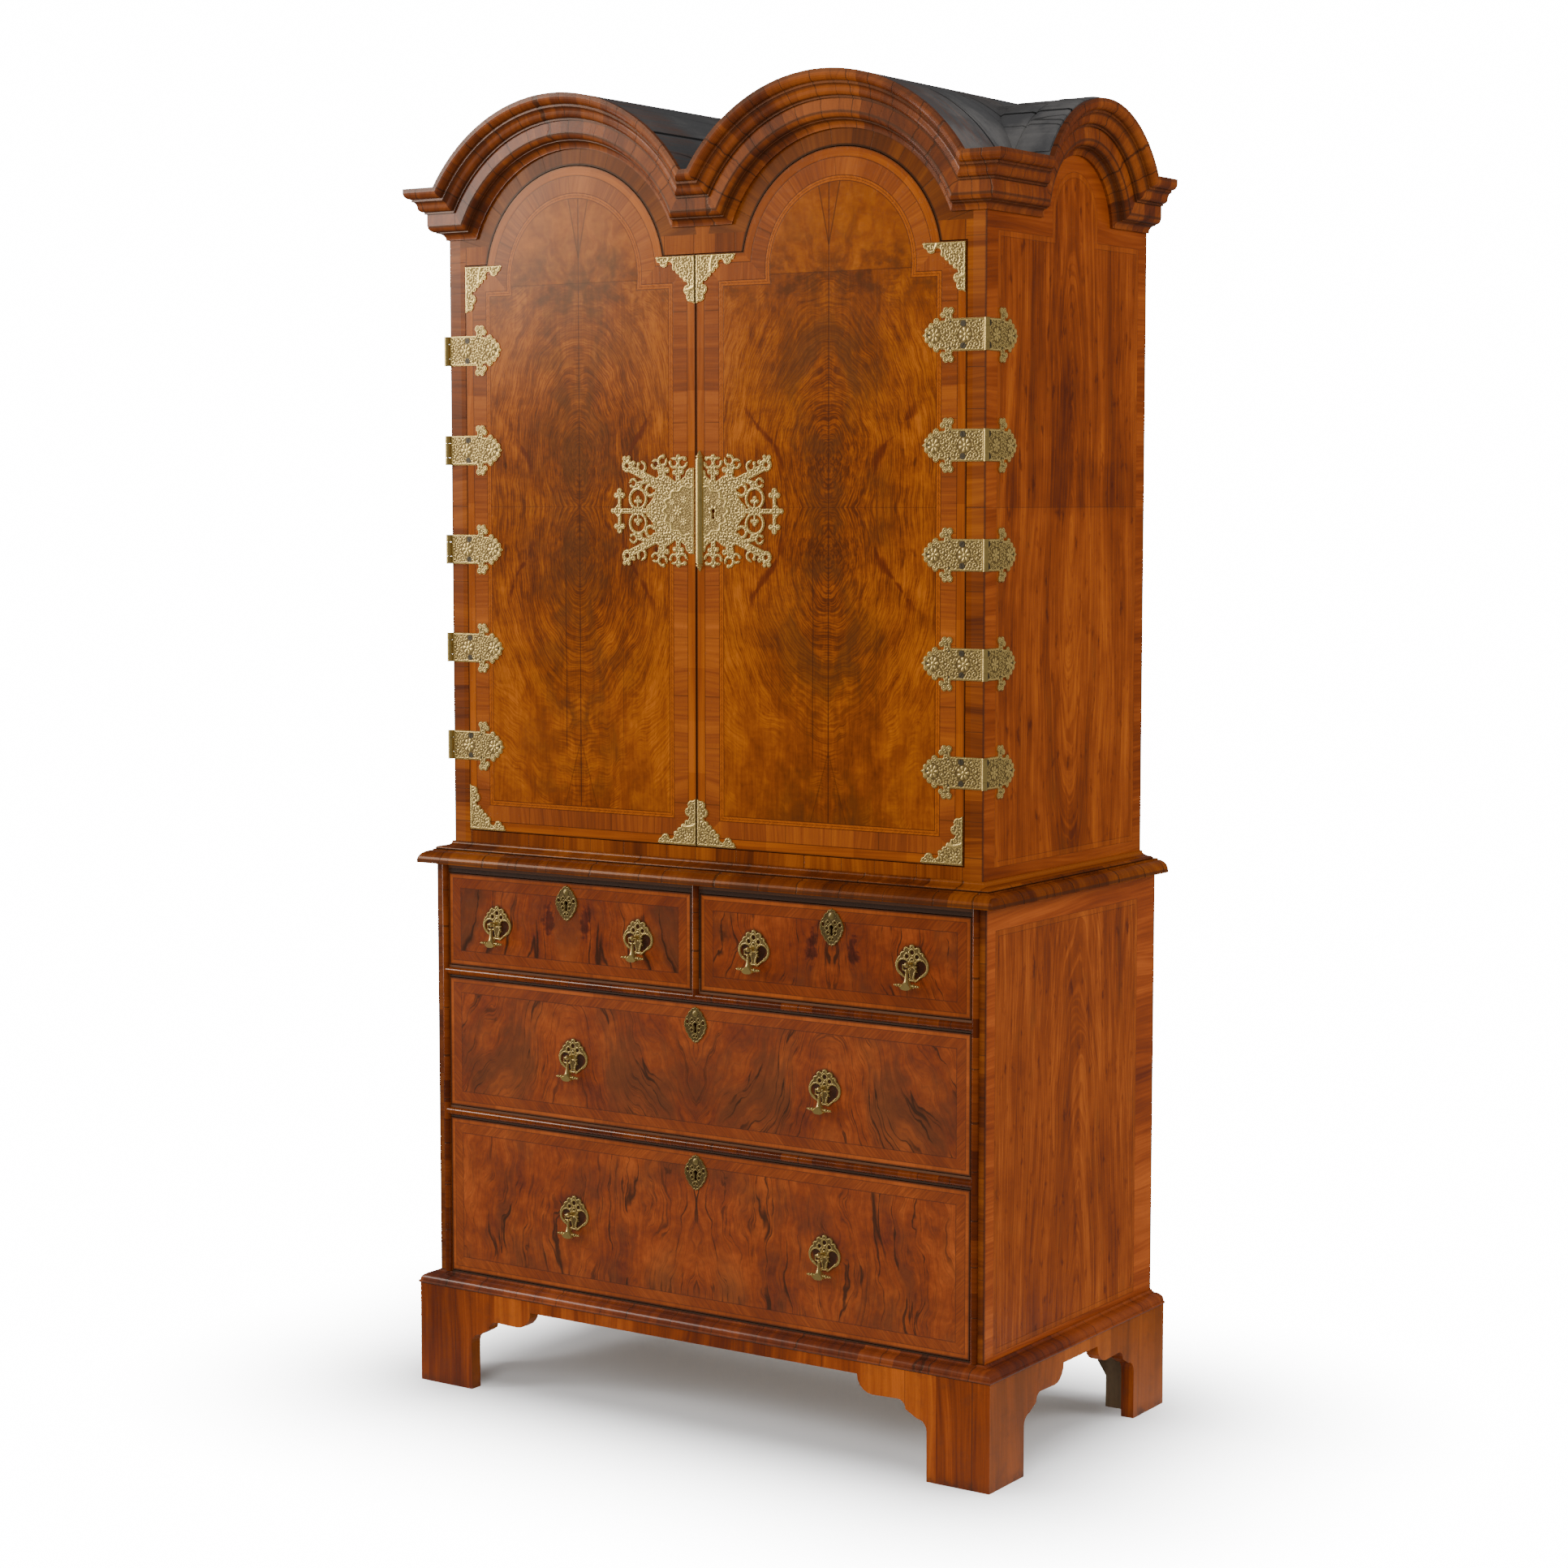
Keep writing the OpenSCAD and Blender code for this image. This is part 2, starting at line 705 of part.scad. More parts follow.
module cornice_front() {
    y_lo = cab_setback - cornice_out - over;
    y_hi = cab_setback + over;
    color(WALNUT_LIGHT) place() {
        difference() {
            front_run(cornice_profile(), cab_x, cab_setback, cornice_z, cornice_out, cornice_h);
            for (s = [-1, 1])
                slab_xz(y_lo, y_hi) arch_region(s * dome_x, front_dome_r, front_dome_drop);
        }
        for (s = [-1, 1]) intersection() {
            translate([s * dome_x, cab_setback, front_dome_z]) arch_ring(front_dome_r);
            slab_xz(y_lo, y_hi) arch_region(s * dome_x, front_dome_r, front_dome_drop);
        }
    }
}

module cornice_sides() {
    x_lo = cab_x - over;
    x_hi = cab_x + cornice_out + over;
    color(WALNUT_LIGHT) place() both_sides() {
        difference() {
            side_run(cornice_profile(), cab_x, cab_setback, cab_back_y, cornice_z, cornice_out, cornice_h);
            slab_yz(x_lo, x_hi) arch_region(side_dome_mid_y, side_dome_r, side_dome_drop);
        }
        intersection() {
            translate([cab_x, side_dome_mid_y, side_dome_z]) rotate([0, 0, 90]) arch_ring(side_dome_r);
            slab_yz(x_lo, x_hi) arch_region(side_dome_mid_y, side_dome_r, side_dome_drop);
        }
    }
}

// Everything under the roof surface that lies h above the lower edge of the cornice
module under_roof(h, x_out, y0, y1) {
    block([-x_out, y0, cornice_z], [x_out, y1, cornice_z + h]);
    for (s = [-1, 1]) translate([s * dome_x, y1, front_dome_z])
        rotate([90, 0, 0]) cylinder(r = front_dome_r + h, h = y1 - y0, $fn = 128);
    both_sides() translate([dome_x, side_dome_mid_y, side_dome_z])
        rotate([0, 90, 0]) cylinder(r = side_dome_r + h, h = x_out - dome_x, $fn = 128);
}

module dome_roof() {
    x_out = cab_x + cornice_out - cornice_lip - run_gap;
    y0 = cab_setback - cornice_out + cornice_lip + run_gap;
    lift = 0.2;
    color(PINE_BLACK) place() difference() {
        intersection() {
            under_roof(cornice_h, x_out, y0, cab_back_y);
            block([-x_out, y0, cornice_z + roof_seat_h], [x_out, cab_back_y, cornice_z + 2 * front_dome_r]);
        }
        difference() {
            under_roof(roof_seat_h + lift, x_out + over, y0 - over, cab_back_y + over);
        }
    }
}

// Shelves, which stand behind the door stops
shelf_y = door_back_y + lock_case[2] + shelf_front_gap;

module shelves() {
    color(OAK) place() for (h = shelf_heights) {
        z = cab_z + cab_floor_t + h;
        block([-cab_in_x, shelf_y, z], [cab_in_x, cab_back_y - back_t, z + shelf_t]);
    }
}

module shelf_rests() {
    color(OAK) place() for (h = shelf_heights) {
        z = cab_z + cab_floor_t + h;
        both_sides() block([cab_in_x - rest_w, shelf_y, z - rest_h], [cab_in_x, cab_back_y - back_t, z]);
    }
}

// Hinges

// Axis of the right hinges
hinge_x = cab_x + barrel_r;
hinge_y = door_y - barrel_r;
// Share of the barrel that belongs to the door
door_barrel = 0.5;

// Outline of a hinge leaf that reaches l along +X, drawn round its middle height
module leaf_outline(l) {
    half = hinge_h / 2;
    for (m = [0, 1]) mirror([0, m]) {
        polygon([[0, -over], [0, half], [l - 51, half], [l - 50, half + 2], [l - 50, half + 11],
                 [l - 40, half + 11], [l - 39, half + 2], [l - 38, half - 2.5], [l - 24, half - 3.5],
                 [l - 14, half - 10], [l - 7, half - 17.5], [l, 0], [l, -over]]);
        // Trefoil
        translate([l - 48, half + 11.2]) circle(r = 5.2);
        translate([l - 39.5, half + 11.6]) circle(r = 5);
        translate([l - 34.5, half + 5.4]) circle(r = 4.6);
        // Scallops towards the tip
        translate([l - 23.5, half - 4.2]) circle(r = 5.4);
        translate([l - 15, half - 10.4]) circle(r = 5);
        translate([l - 8, half - 16.8]) circle(r = 4.4);
    }
    translate([l - 6, 0]) rotate(45) square(7.4, center = true);
}

// Heights of the hinges, evenly spaced
function hinge_z() = [for (i = [0:hinge_n - 1])
    door_z + hinge_low + i * (door_h - hinge_low - hinge_high) / (hinge_n - 1)];

// Side leaf with the upper and lower knuckles and the pin, at the right corner
module hinge_strap(z) {
    knuckle = hinge_h * (1 - door_barrel) / 2;
    slab_yz(cab_x, cab_x + leaf_t) difference() {
        intersection() {
            translate([hinge_y, z]) leaf_outline(side_leaf_l);
            translate([hinge_y, z - hinge_h]) square([side_leaf_l + over, 2 * hinge_h]);
        }
        // The door leaf passes here to its knuckle
        translate([hinge_y - over, z - hinge_h * door_barrel / 2])
            square([door_y - hinge_y + over + run_gap, hinge_h * door_barrel]);
    }
    for (s = [-1, 1]) translate([hinge_x, hinge_y, z + s * (hinge_h - knuckle) / 2])
        cylinder(r = barrel_r, h = knuckle, center = true);
    translate([hinge_x, hinge_y, z]) cylinder(r = hinge_pin_r, h = hinge_h, center = true);
}

module hinge_straps() {
    knuckle = hinge_h * door_barrel;
    color(BRASS) place() both_sides() for (z = hinge_z()) difference() {
        hinge_strap(z);
        // Room for the knuckle of the door leaf
        difference() {
            translate([hinge_x, hinge_y, z]) cylinder(r = barrel_r + 2 * run_gap, h = knuckle, center = true);
            translate([hinge_x, hinge_y, z]) cylinder(r = hinge_pin_r, h = knuckle, center = true);
        }
    }
}

// Door leaf with its knuckle and bore, at the right corner
module hinge_leaf(z) {
    knuckle = hinge_h * door_barrel - 2 * run_gap;
    difference() {
        union() {
            slab_xz(door_y - leaf_t, door_y) translate([hinge_x, z]) mirror([1, 0]) leaf_outline(door_leaf_l);
            translate([hinge_x, hinge_y, z]) cylinder(r = barrel_r, h = knuckle, center = true);
        }
        translate([hinge_x, hinge_y, z]) cylinder(r = hinge_pin_r + run_gap, h = hinge_h + over, center = true);
        // Room for the knuckles of the side leaf
        for (s = [-1, 1]) translate([cab_x - run_gap, hinge_y, z + s * (hinge_h + knuckle) / 2 - hinge_h / 2])
            cube([2 * barrel_r, 2 * barrel_r, hinge_h]);
    }
}

module hinge_leaves_right() {
    color(BRASS) place() for (z = hinge_z()) hinge_leaf(z);
}

module hinge_leaves_left() {
    color(BRASS) place() mirror([1, 0, 0]) for (z = hinge_z()) hinge_leaf(z);
}

// Doors

// Outline of one door: s is 1 on the right and -1 on the left
module door_outline(s) {
    meet = -meeting_x + s * meeting_gap / 2;
    outer = s * (cab_x - stile_w);
    translate([min(meet, outer), door_z]) square([abs(outer - meet), door_h]);
    intersection() {
        translate([s * dome_x, door_arch_z]) circle(r = door_arch_r, $fn = 96);
        translate([s * dome_x - door_arch_r, door_z]) square([2 * door_arch_r, door_h + door_arch_r]);
    }
}

// Keyhole, a round above a slot
module keyhole(r) {
    circle(r = r);
    translate([-0.55 * r, -3 * r]) square([1.1 * r, 3 * r]);
    translate([0, -3 * r]) circle(r = 0.75 * r);
}

module door_left() {
    color(WALNUT) place() slab_xz(door_y, door_back_y) door_outline(-1);
}

module door_right() {
    color(WALNUT) place() slab_xz(door_y, door_back_y) difference() {
        door_outline(1);
        translate([key_x - meeting_x, door_z + lock_z]) keyhole(key_r);
    }
}

// Outline of a corner mount, its corner at the origin and its legs along +X and +Y
module corner_outline() {
    k = corner_l / 74;
    scale(k) difference() {
        union() {
            polygon([[0, 0], [70, 0], [74, 1.5], [66, 6], [48, 8], [40, 17], [30, 22], [25, 31], [17, 35],
                     [12, 44], [14, 56], [6, 70], [0, 73]]);
            translate([58, 8]) circle(r = 8);
            translate([67, 4.5]) circle(r = 4.5);
            translate([13, 52]) circle(r = 7.5);
            translate([8, 63]) circle(r = 7.5);
            for (i = [0:3]) translate([38 - 7 * i, 17 + 6 * i]) circle(r = 4.5);
        }
        translate([47, 14]) circle(r = 5.5);
        translate([-20, -10]) square([20, 100]);
        translate([-20, -20]) square([120, 20]);
    }
}

// The four corner mounts of a door
module corner_mounts(s) {
    inset = 1.2;
    meet = -meeting_x + s * meeting_gap / 2;
    outer = s * (cab_x - stile_w - inset);
    lo = door_z + inset;
    hi = shoulder_z - inset;
    slab_xz(door_y - plate_t, door_y) {
        translate([outer, lo]) mirror([s > 0 ? 1 : 0, 0]) corner_outline();
        translate([outer, hi]) mirror([0, 1]) mirror([s > 0 ? 1 : 0, 0]) corner_outline();
        translate([meet, lo]) mirror([s > 0 ? 0 : 1, 0]) corner_outline();
        translate([meet, hi]) mirror([0, 1]) mirror([s > 0 ? 0 : 1, 0]) corner_outline();
    }
}

module corner_mounts_left() {
    color(BRASS) place() corner_mounts(-1);
}

module corner_mounts_right() {
    color(BRASS) place() corner_mounts(1);
}

// Lock plate

// A pierced ring
module ring(at, r, hole) {
    translate(at) difference() {
        circle(r = r);
        circle(r = hole);
    }
}

// A curl: a ring with a ball at its free end
module curl(at, r, turn) {
    translate(at) rotate(turn) {
        difference() {
            circle(r = r);
            circle(r = 0.52 * r);
            translate([0, -r / 3]) square([r + over, r / 1.5]);
        }
        translate([0.72 * r, -r / 3]) circle(r = r / 3);
    }
}

// A straight arm of scrollwork between two points
module arm(a, b, w) {
    d = b - a;
    translate(a) rotate(atan2(d.y, d.x)) translate([0, -w / 2]) square([norm(d), w]);
}

// A small three lobed leaf on a stem
module leaf(at, r, turn) {
    translate(at) rotate(turn) {
        translate([0, 0.9 * r]) circle(r = 0.62 * r);
        for (s = [-1, 1]) translate([0.85 * s * r, 0]) circle(r = 0.58 * r);
        translate([-0.3 * r, -1.6 * r]) square([0.6 * r, 2.4 * r]);
    }
}

// Reach of the lock plate as it is drawn here
lock_drawn_l = 163;
lock_k = lock_plate_l / lock_drawn_l;

// Upper half of one lock plate, x away from the meeting line
module lock_scrolls() {
    // Two leaves on one stem, with tendrils
    arm([33, 40], [33, 70], 9);
    curl([25, 74], 10, 150);
    curl([41, 74], 9, 30);
    translate([33, 83]) circle(r = 4);
    translate([26, 60]) circle(r = 4);
    translate([40, 59]) circle(r = 4);
    // Scroll with a fat stem
    arm([62, 50], [67, 72], 14);
    curl([63, 77], 9.5, 130);
    curl([76, 72], 8.5, 10);
    translate([54, 63]) circle(r = 4.5);
    // Corner arm
    arm([74, 44], [126, 66], 12);
    curl([103, 68], 9.5, 60);
    ring([131, 70], 10, 3.4);
    translate([136, 81]) circle(r = 4);
    translate([128, 82]) circle(r = 3.5);
    translate([119, 74]) circle(r = 4);
    // Branch over the pierced ring
    arm([84, 48], [114, 41], 7);
    curl([119, 43], 8, -20);
    translate([106, 39]) circle(r = 4.5);
    // Curl beside the body, and the pierced ring with its leaf
    curl([86, 32], 11, 170);
    arm([76, 38], [82, 42], 8);
    ring([110, 19], 18, 13.2);
    arm([110, 3], [110, 14], 4);
    leaf([110, 15], 5.5, 0);
    // Leaf at the side
    arm([146, 3], [146, 20], 6);
    leaf([146, 24], 7.5, 0);
}

// Outline of the lock plate on the right door, round the meeting line
module lock_outline() {
    for (m = [0, 1]) mirror([0, m]) {
        polygon([[0, -over], [0, 66], [12, 66], [18, 61], [20, 54], [30, 46], [40, 46], [50, 53], [60, 56], [74, 52],
                 [80, 44], [76, 36], [78, 24], [86, 14], [94, 7], [94, -over]]);
        lock_scrolls();
    }
    translate([90, -4]) square([54, 8]);
    translate([149, 0]) rotate(45) square(15, center = true);
    translate([159, 0]) circle(r = 4);
}

// The lock plate of one door, cut back from the meeting line
module lock_plate(s) {
    start = meeting_gap / 2 + (s > 0 ? 2 * bar_r - over : 2 * over);
    slab_xz(door_y - plate_t, door_y) difference() {
        translate([-meeting_x, door_z + lock_z]) mirror([s > 0 ? 0 : 1, 0]) difference() {
            scale(lock_k) lock_outline();
            translate([-over, -2 * bar_l]) square([start + over, 4 * bar_l]);
        }
        if (s > 0) translate([key_x - meeting_x, door_z + lock_z]) keyhole(key_r);
    }
    // Round headed pins that hold the plate
    for (m = [-1, 1], p = lock_k * [[24, 46], [67, 62], [100, 55], [90, 5]])
        translate([s * p.x - meeting_x, door_y - plate_t + over, door_z + lock_z + m * p.y])
            rotate([90, 0, 0]) cylinder(r = plate_pin_r, h = plate_pin_r / 2 + over);
}

module lock_plate_left() {
    color(BRASS) place() lock_plate(-1);
}

// Half round bar with turned ends, fixed to the right door beside the gap
module meeting_bar() {
    tip = 13;
    intersection() {
        translate([bar_r - meeting_x + 0.1, door_y, door_z + lock_z]) rotate_extrude() {
            translate([0, -bar_l / 2]) square([bar_r, bar_l]);
            for (m = [0, 1]) mirror([0, m]) translate([0, bar_l / 2]) polygon([
                [0, -over], [bar_r - 1.5, -over], [bar_r - 1.5, 1.5], [bar_r - 0.4, 3], [bar_r - 0.4, 4.5],
                [bar_r - 2.5, 6], [bar_r - 2.5, 7], [2, tip - 2], [0.8, tip], [0, tip]]);
        }
        block([-meeting_x, door_y - bar_r - over, door_z], [2 * bar_r, door_y, shoulder_z]);
    }
}

module lock_plate_right() {
    color(BRASS) place() {
        lock_plate(1);
        meeting_bar();
    }
}

// Lock and bolts on the backs of the doors

// Distance of the lock from the meeting edge of the door
lock_inset = 2;
lock_x0 = meeting_gap / 2 - meeting_x + lock_inset;
lock_mid_z = door_z + lock_z;
// The lock bolt lies in the middle of the lock
lock_bolt_y = door_back_y + (lock_case[2] - lock_bolt_t) / 2;
lock_bolt_l = 34;

module door_lock() {
    wall = 2.5;
    color(IRON) place() difference() {
        block([lock_x0, door_back_y, lock_mid_z - lock_case[1] / 2],
              [lock_x0 + lock_case[0], door_back_y + lock_case[2], lock_mid_z + lock_case[1] / 2]);
        block([lock_x0 - over, lock_bolt_y - run_gap, lock_mid_z + lock_bolt_h / 2 - run_gap],
              [lock_x0 + lock_bolt_l + run_gap, lock_bolt_y + lock_bolt_t + run_gap,
               lock_mid_z + 1.5 * lock_bolt_h + run_gap]);
        // Keyhole through the lock
        slab_xz(door_back_y - over, door_back_y + lock_case[2] - wall)
            translate([key_x - meeting_x, lock_mid_z]) keyhole(key_r);
    }
}

module door_lock_bolt() {
    color(BRASS) place()
        block([lock_x0, lock_bolt_y, lock_mid_z + lock_bolt_h / 2],
              [lock_x0 + lock_bolt_l, lock_bolt_y + lock_bolt_t, lock_mid_z + 1.5 * lock_bolt_h]);
}

// The flat bolts stand on the back of the left door, near its meeting edge
flat_bolt_t = 4;
flat_bolt_x = -meeting_x - 22;
flat_bolt_y = door_back_y + 2;
bolt_end_gap = 3;

// A flat bolt whose far end points up, with a knob, s is 1 for the upper one
module flat_bolt(s) {
    knob_l = 9;
    knob_r = 5;
    end = s > 0 ? shoulder_z - bolt_end_gap : door_z + bolt_end_gap;
    translate([flat_bolt_x, flat_bolt_y, end]) mirror([0, 0, s > 0 ? 0 : 1]) {
        block([-flat_bolt_w / 2, 0, -flat_bolt_l], [flat_bolt_w / 2, flat_bolt_t, 0]);
        translate([0, flat_bolt_t, -0.7 * flat_bolt_l]) rotate([-90, 0, 0]) cylinder(r = knob_r, h = knob_l);
    }
}

// Backplate and two staples of a flat bolt
module bolt_guide(s) {
    wall = 2;
    staple_h = 10;
    end = s > 0 ? shoulder_z - bolt_end_gap : door_z + bolt_end_gap;
    w = flat_bolt_w / 2 + run_gap;
    back = flat_bolt_y - run_gap;
    translate([flat_bolt_x, 0, end]) mirror([0, 0, s > 0 ? 0 : 1]) {
        block([-w - wall, door_back_y, -flat_bolt_l], [w + wall, back, 0]);
        for (z = [-0.25 * flat_bolt_l, -flat_bolt_l + staple_h]) difference() {
            block([-w - wall, back, z - staple_h], [w + wall, flat_bolt_y + flat_bolt_t + run_gap + wall, z]);
            block([-w, back - over, z - staple_h - over],
                  [w, flat_bolt_y + flat_bolt_t + run_gap, z + over]);
        }
    }
}

// Staple on the left door that takes the lock bolt
module lock_keeper() {
    wall = 2.5;
    gap = 1;
    x1 = -meeting_x - meeting_gap / 2 - 3;
    z0 = lock_mid_z + lock_bolt_h / 2;
    difference() {
        block([x1 - lock_throw, door_back_y, z0 - gap - wall],
              [x1, lock_bolt_y + lock_bolt_t + gap + wall, z0 + lock_bolt_h + gap + wall]);
        block([x1 - lock_throw - over, lock_bolt_y - gap, z0 - gap],
              [x1 + over, lock_bolt_y + lock_bolt_t + gap, z0 + lock_bolt_h + gap]);
    }
}

module door_bolt_guides() {
    color(BRASS) place() {
        bolt_guide(1);
        bolt_guide(-1);
        lock_keeper();
    }
}

module door_bolt_upper() {
    color(BRASS) place() flat_bolt(1);
}

module door_bolt_lower() {
    color(BRASS) place() flat_bolt(-1);
}

// Drawers

// Width, front height, middle and lower edge of each drawer
long_w = 2 * (chest_in_x - drawer_gap);
upper_w = chest_in_x - divider_w / 2 - 2 * drawer_gap;
UPPER_LEFT = [upper_w, upper_drawer_h, -upper_x, upper_rail_z + rail_t, upper_pull_x];
UPPER_RIGHT = [upper_w, upper_drawer_h, upper_x, upper_rail_z + rail_t, upper_pull_x];
MIDDLE = [long_w, middle_drawer_h, 0, lower_rail_z + rail_t, long_pull_x];
LOWER = [long_w, lower_drawer_h, 0, floor_z, long_pull_x];

// Height of the handle plates above the middle of the drawer front
pull_up = -1;

// Veneered front, pierced by its keyhole
module drawer_front(d) {
    color(WALNUT_DARK) place() slab_xz(0, front_t) translate([d[2], d[3] + drawer_gap]) difference() {
        translate([-d[0] / 2, 0]) square([d[0], d[1]]);
        translate([0, d[1] - escutcheon_down]) keyhole(key_r);
    }
}

// Sides, back and bottom
module drawer_box(d) {
    x = d[0] / 2 - (lining_gap - drawer_gap);
    z0 = d[3] + run_gap;
    z1 = d[3] + drawer_gap + d[1] - lining_drop;
    y1 = chest_d - back_t - drawer_back_gap;
    color(OAK) place() translate([d[2], 0, 0]) {
        both_sides() block([x - lining_t, front_t, z0], [x, y1, z1]);
        block([lining_t - x, y1 - lining_t, z0 + bottom_up + bottom_t], [x - lining_t, y1, z1]);
        block([lining_t - x, front_t, z0 + bottom_up], [x - lining_t, y1, z0 + bottom_up + bottom_t]);
    }
}

// Pierced heart shaped handle plate with a scalloped top, on a size of 58 by 58
module pull_outline() {
    module outside() {
        for (s = [-1, 1]) {
            translate([11.5 * s, -3]) circle(r = 17.5);
            translate([9.5 * s, 20]) circle(r = 5.2);
            translate([16 * s, 13]) circle(r = 5);
        }
        translate([0, 9]) circle(r = 15.5);
        translate([0, 24.4]) circle(r = 4.6);
        polygon([[-24.5, -13], [24.5, -13], [6, -28], [3, -26.5], [-3, -26.5], [-6, -28]]);
    }
    module holes() {
        translate([0, 17]) circle(r = 3.3);
        translate([0, 5.4]) circle(r = 1.9);
        for (s = [-1, 1]) {
            translate([8.8 * s, 10.6]) circle(r = 3);
            difference() {
                translate([15 * s, -4.5]) circle(r = 9.6);
                for (a = [-40, 0, 40]) translate([4.5 * s + 2 * s * cos(a), -4.5 + 8 * sin(a)]) circle(r = 2);
            }
            polygon([[6 * s, -12.5], [19 * s, -13.5], [7.5 * s, -23.5], [4 * s, -21.5]]);
        }
    }
    kx = pull_w / 58;
    ky = pull_h / 58;
    scale(min(kx, ky)) difference() {
        outside();
        holes();
    }
}

// Diamond shaped keyhole plate with a scalloped edge
module escutcheon_outline() {
    steps = 72;
    scallops = 18;
    power = 1.35;
    function root(v) = sign(v) * pow(abs(v), power);
    function grow(a) = 0.94 + 0.06 * abs(sin(scallops * a / 2));
    polygon([for (i = [0:steps - 1]) let (a = 360 * i / steps)
        grow(a) * [root(cos(a)) * escutcheon_w / 2, root(sin(a)) * escutcheon_h / 2]]);
    // Ears at the sides and a small leaf at the bottom
    for (s = [-1, 1]) translate([s * escutcheon_w * 0.34, escutcheon_h * 0.07]) circle(r = escutcheon_w * 0.13);
    translate([0, escutcheon_h * 0.3]) circle(r = escutcheon_w * 0.17);
    translate([0, -escutcheon_h * 0.3]) circle(r = escutcheon_w * 0.14);
}

module escutcheon_holes() {
    keyhole(key_r);
    for (s = [-1, 1]) {
        translate([s * escutcheon_w * 0.34, escutcheon_h * 0.07]) circle(r = escutcheon_w * 0.06);
        translate([s * escutcheon_w * 0.19, -escutcheon_h * 0.03]) circle(r = escutcheon_w * 0.045);
        translate([s * escutcheon_w * 0.15, -escutcheon_h * 0.14]) circle(r = escutcheon_w * 0.045);
        translate([s * escutcheon_w * 0.14, escutcheon_h * 0.13]) circle(r = escutcheon_w * 0.04);
        translate([s * escutcheon_w * 0.06, -escutcheon_h * 0.31]) circle(r = escutcheon_w * 0.035);
    }
}

// Pin of a drop handle: distance in front of the drawer
drop_y = -plate_t - post_l;
eye_r = 4.2;
// Half width of the stirrup that straddles the eye
stirrup_x = eye_r + run_gap + 2 * drop_pin_r;

// Post with a flared foot and an eye
module drop_post() {
    stem_r = 2.6;
    eye_at = asin(stem_r / eye_r);
    difference() {
        translate([0, -plate_t, 0]) rotate([90, 0, 0]) rotate_extrude() polygon(concat(
            [[0, 0]],
            arc([5, 2.4], 5 - stem_r, -90, -180, 4),
            arc([0, post_l], eye_r, eye_at - 90, 90, 8)));
        translate([0, drop_y, 0]) rotate([0, 90, 0])
            cylinder(r = drop_pin_r + run_gap, h = 2 * eye_r + over, center = true);
    }
}

// Plates, posts, keyhole plate and lock of a drawer
module drawer_fittings(d) {
    mid_z = d[3] + drawer_gap + d[1] / 2 + pull_up;
    top_z = d[3] + drawer_gap + d[1];
    color(BRASS) place() translate([d[2], 0, 0]) {
        for (s = [-1, 1]) translate([s * d[4], 0, mid_z]) {
            slab_xz(-plate_t, 0) pull_outline();
            drop_post();
        }
        slab_xz(-plate_t, 0) translate([0, top_z - escutcheon_down]) difference() {
            escutcheon_outline();
            escutcheon_holes();
        }
        difference() {
            block([-drawer_lock[0] / 2, front_t, top_z - drawer_lock[1] - over],
                  [drawer_lock[0] / 2, front_t + drawer_lock[2], top_z - over]);
            block([-drawer_bolt_w / 2 - run_gap, bolt_y - run_gap, top_z - drawer_lock[1] / 2],
                  [drawer_bolt_w / 2 + run_gap, bolt_y + drawer_bolt_t + run_gap, top_z]);
        }
    }
}

module drawer_bolt(d) {
    top_z = d[3] + drawer_gap + d[1];
    color(IRON) place() translate([d[2], 0, 0])
        block([-drawer_bolt_w / 2, bolt_y, top_z - drawer_lock[1] / 2 + run_gap],
              [drawer_bolt_w / 2, bolt_y + drawer_bolt_t, top_z - over]);
}

// A drop handle: stirrup, ball, flared body and a bar with turned ends
module drop_handle(d, s) {
    neck_z = -eye_r - run_gap - 3.2;
    flat = 5;
    bar_z = -drop_l + 7;
    mid_z = d[3] + drawer_gap + d[1] / 2 + pull_up;
    color(BRASS) place() translate([d[2] + s * d[4], drop_y, mid_z]) {
        rotate([0, 90, 0]) cylinder(r = drop_pin_r, h = 2 * stirrup_x, center = true);
        both_sides() {
            translate([stirrup_x, 0, neck_z]) cylinder(r = drop_pin_r, h = -neck_z);
            translate([stirrup_x, 0, 0]) sphere(r = drop_pin_r);
            translate([0, 0, neck_z]) rotate([0, 90, 0]) cylinder(r = drop_pin_r, h = stirrup_x);
        }
        translate([0, 0, neck_z - 1]) sphere(r = 3);
        intersection() {
            rotate_extrude() polygon(concat(
                [[0, neck_z - 2], [2.2, neck_z - 2]],
                [for (i = [0:8]) let (t = i / 8) [2.2 + 8.6 * pow(t, 2.6), neck_z - 3 - t * (drop_l + neck_z - 7)]],
                [[7, 1 - drop_l], [0, -drop_l]]));
            block([-drop_l, -flat, -drop_l - over], [drop_l, flat, 0]);
        }
        // Bar with turned ends
        both_sides() translate([0, 0, bar_z]) rotate([0, 90, 0]) rotate_extrude() polygon(concat(
            [[0, 0], [2.4, 0], [2.4, 8.5]],
            arc([0, 12], 3.1, -50, 50, 5), [[1.4, 15]], arc([0, 17], 2.4, -50, 50, 4), [[1.1, 19.2]],
            arc([0, 20.4], 1.8, -30, 90, 4)));
    }
}

module upper_left_front() { drawer_front(UPPER_LEFT); }
module upper_left_box() { drawer_box(UPPER_LEFT); }
module upper_left_fittings() { drawer_fittings(UPPER_LEFT); }
module upper_left_bolt() { drawer_bolt(UPPER_LEFT); }
module upper_left_drop_a() { drop_handle(UPPER_LEFT, -1); }
module upper_left_drop_b() { drop_handle(UPPER_LEFT, 1); }
module upper_right_front() { drawer_front(UPPER_RIGHT); }
module upper_right_box() { drawer_box(UPPER_RIGHT); }
module upper_right_fittings() { drawer_fittings(UPPER_RIGHT); }
module upper_right_bolt() { drawer_bolt(UPPER_RIGHT); }
module upper_right_drop_a() { drop_handle(UPPER_RIGHT, -1); }
module upper_right_drop_b() { drop_handle(UPPER_RIGHT, 1); }
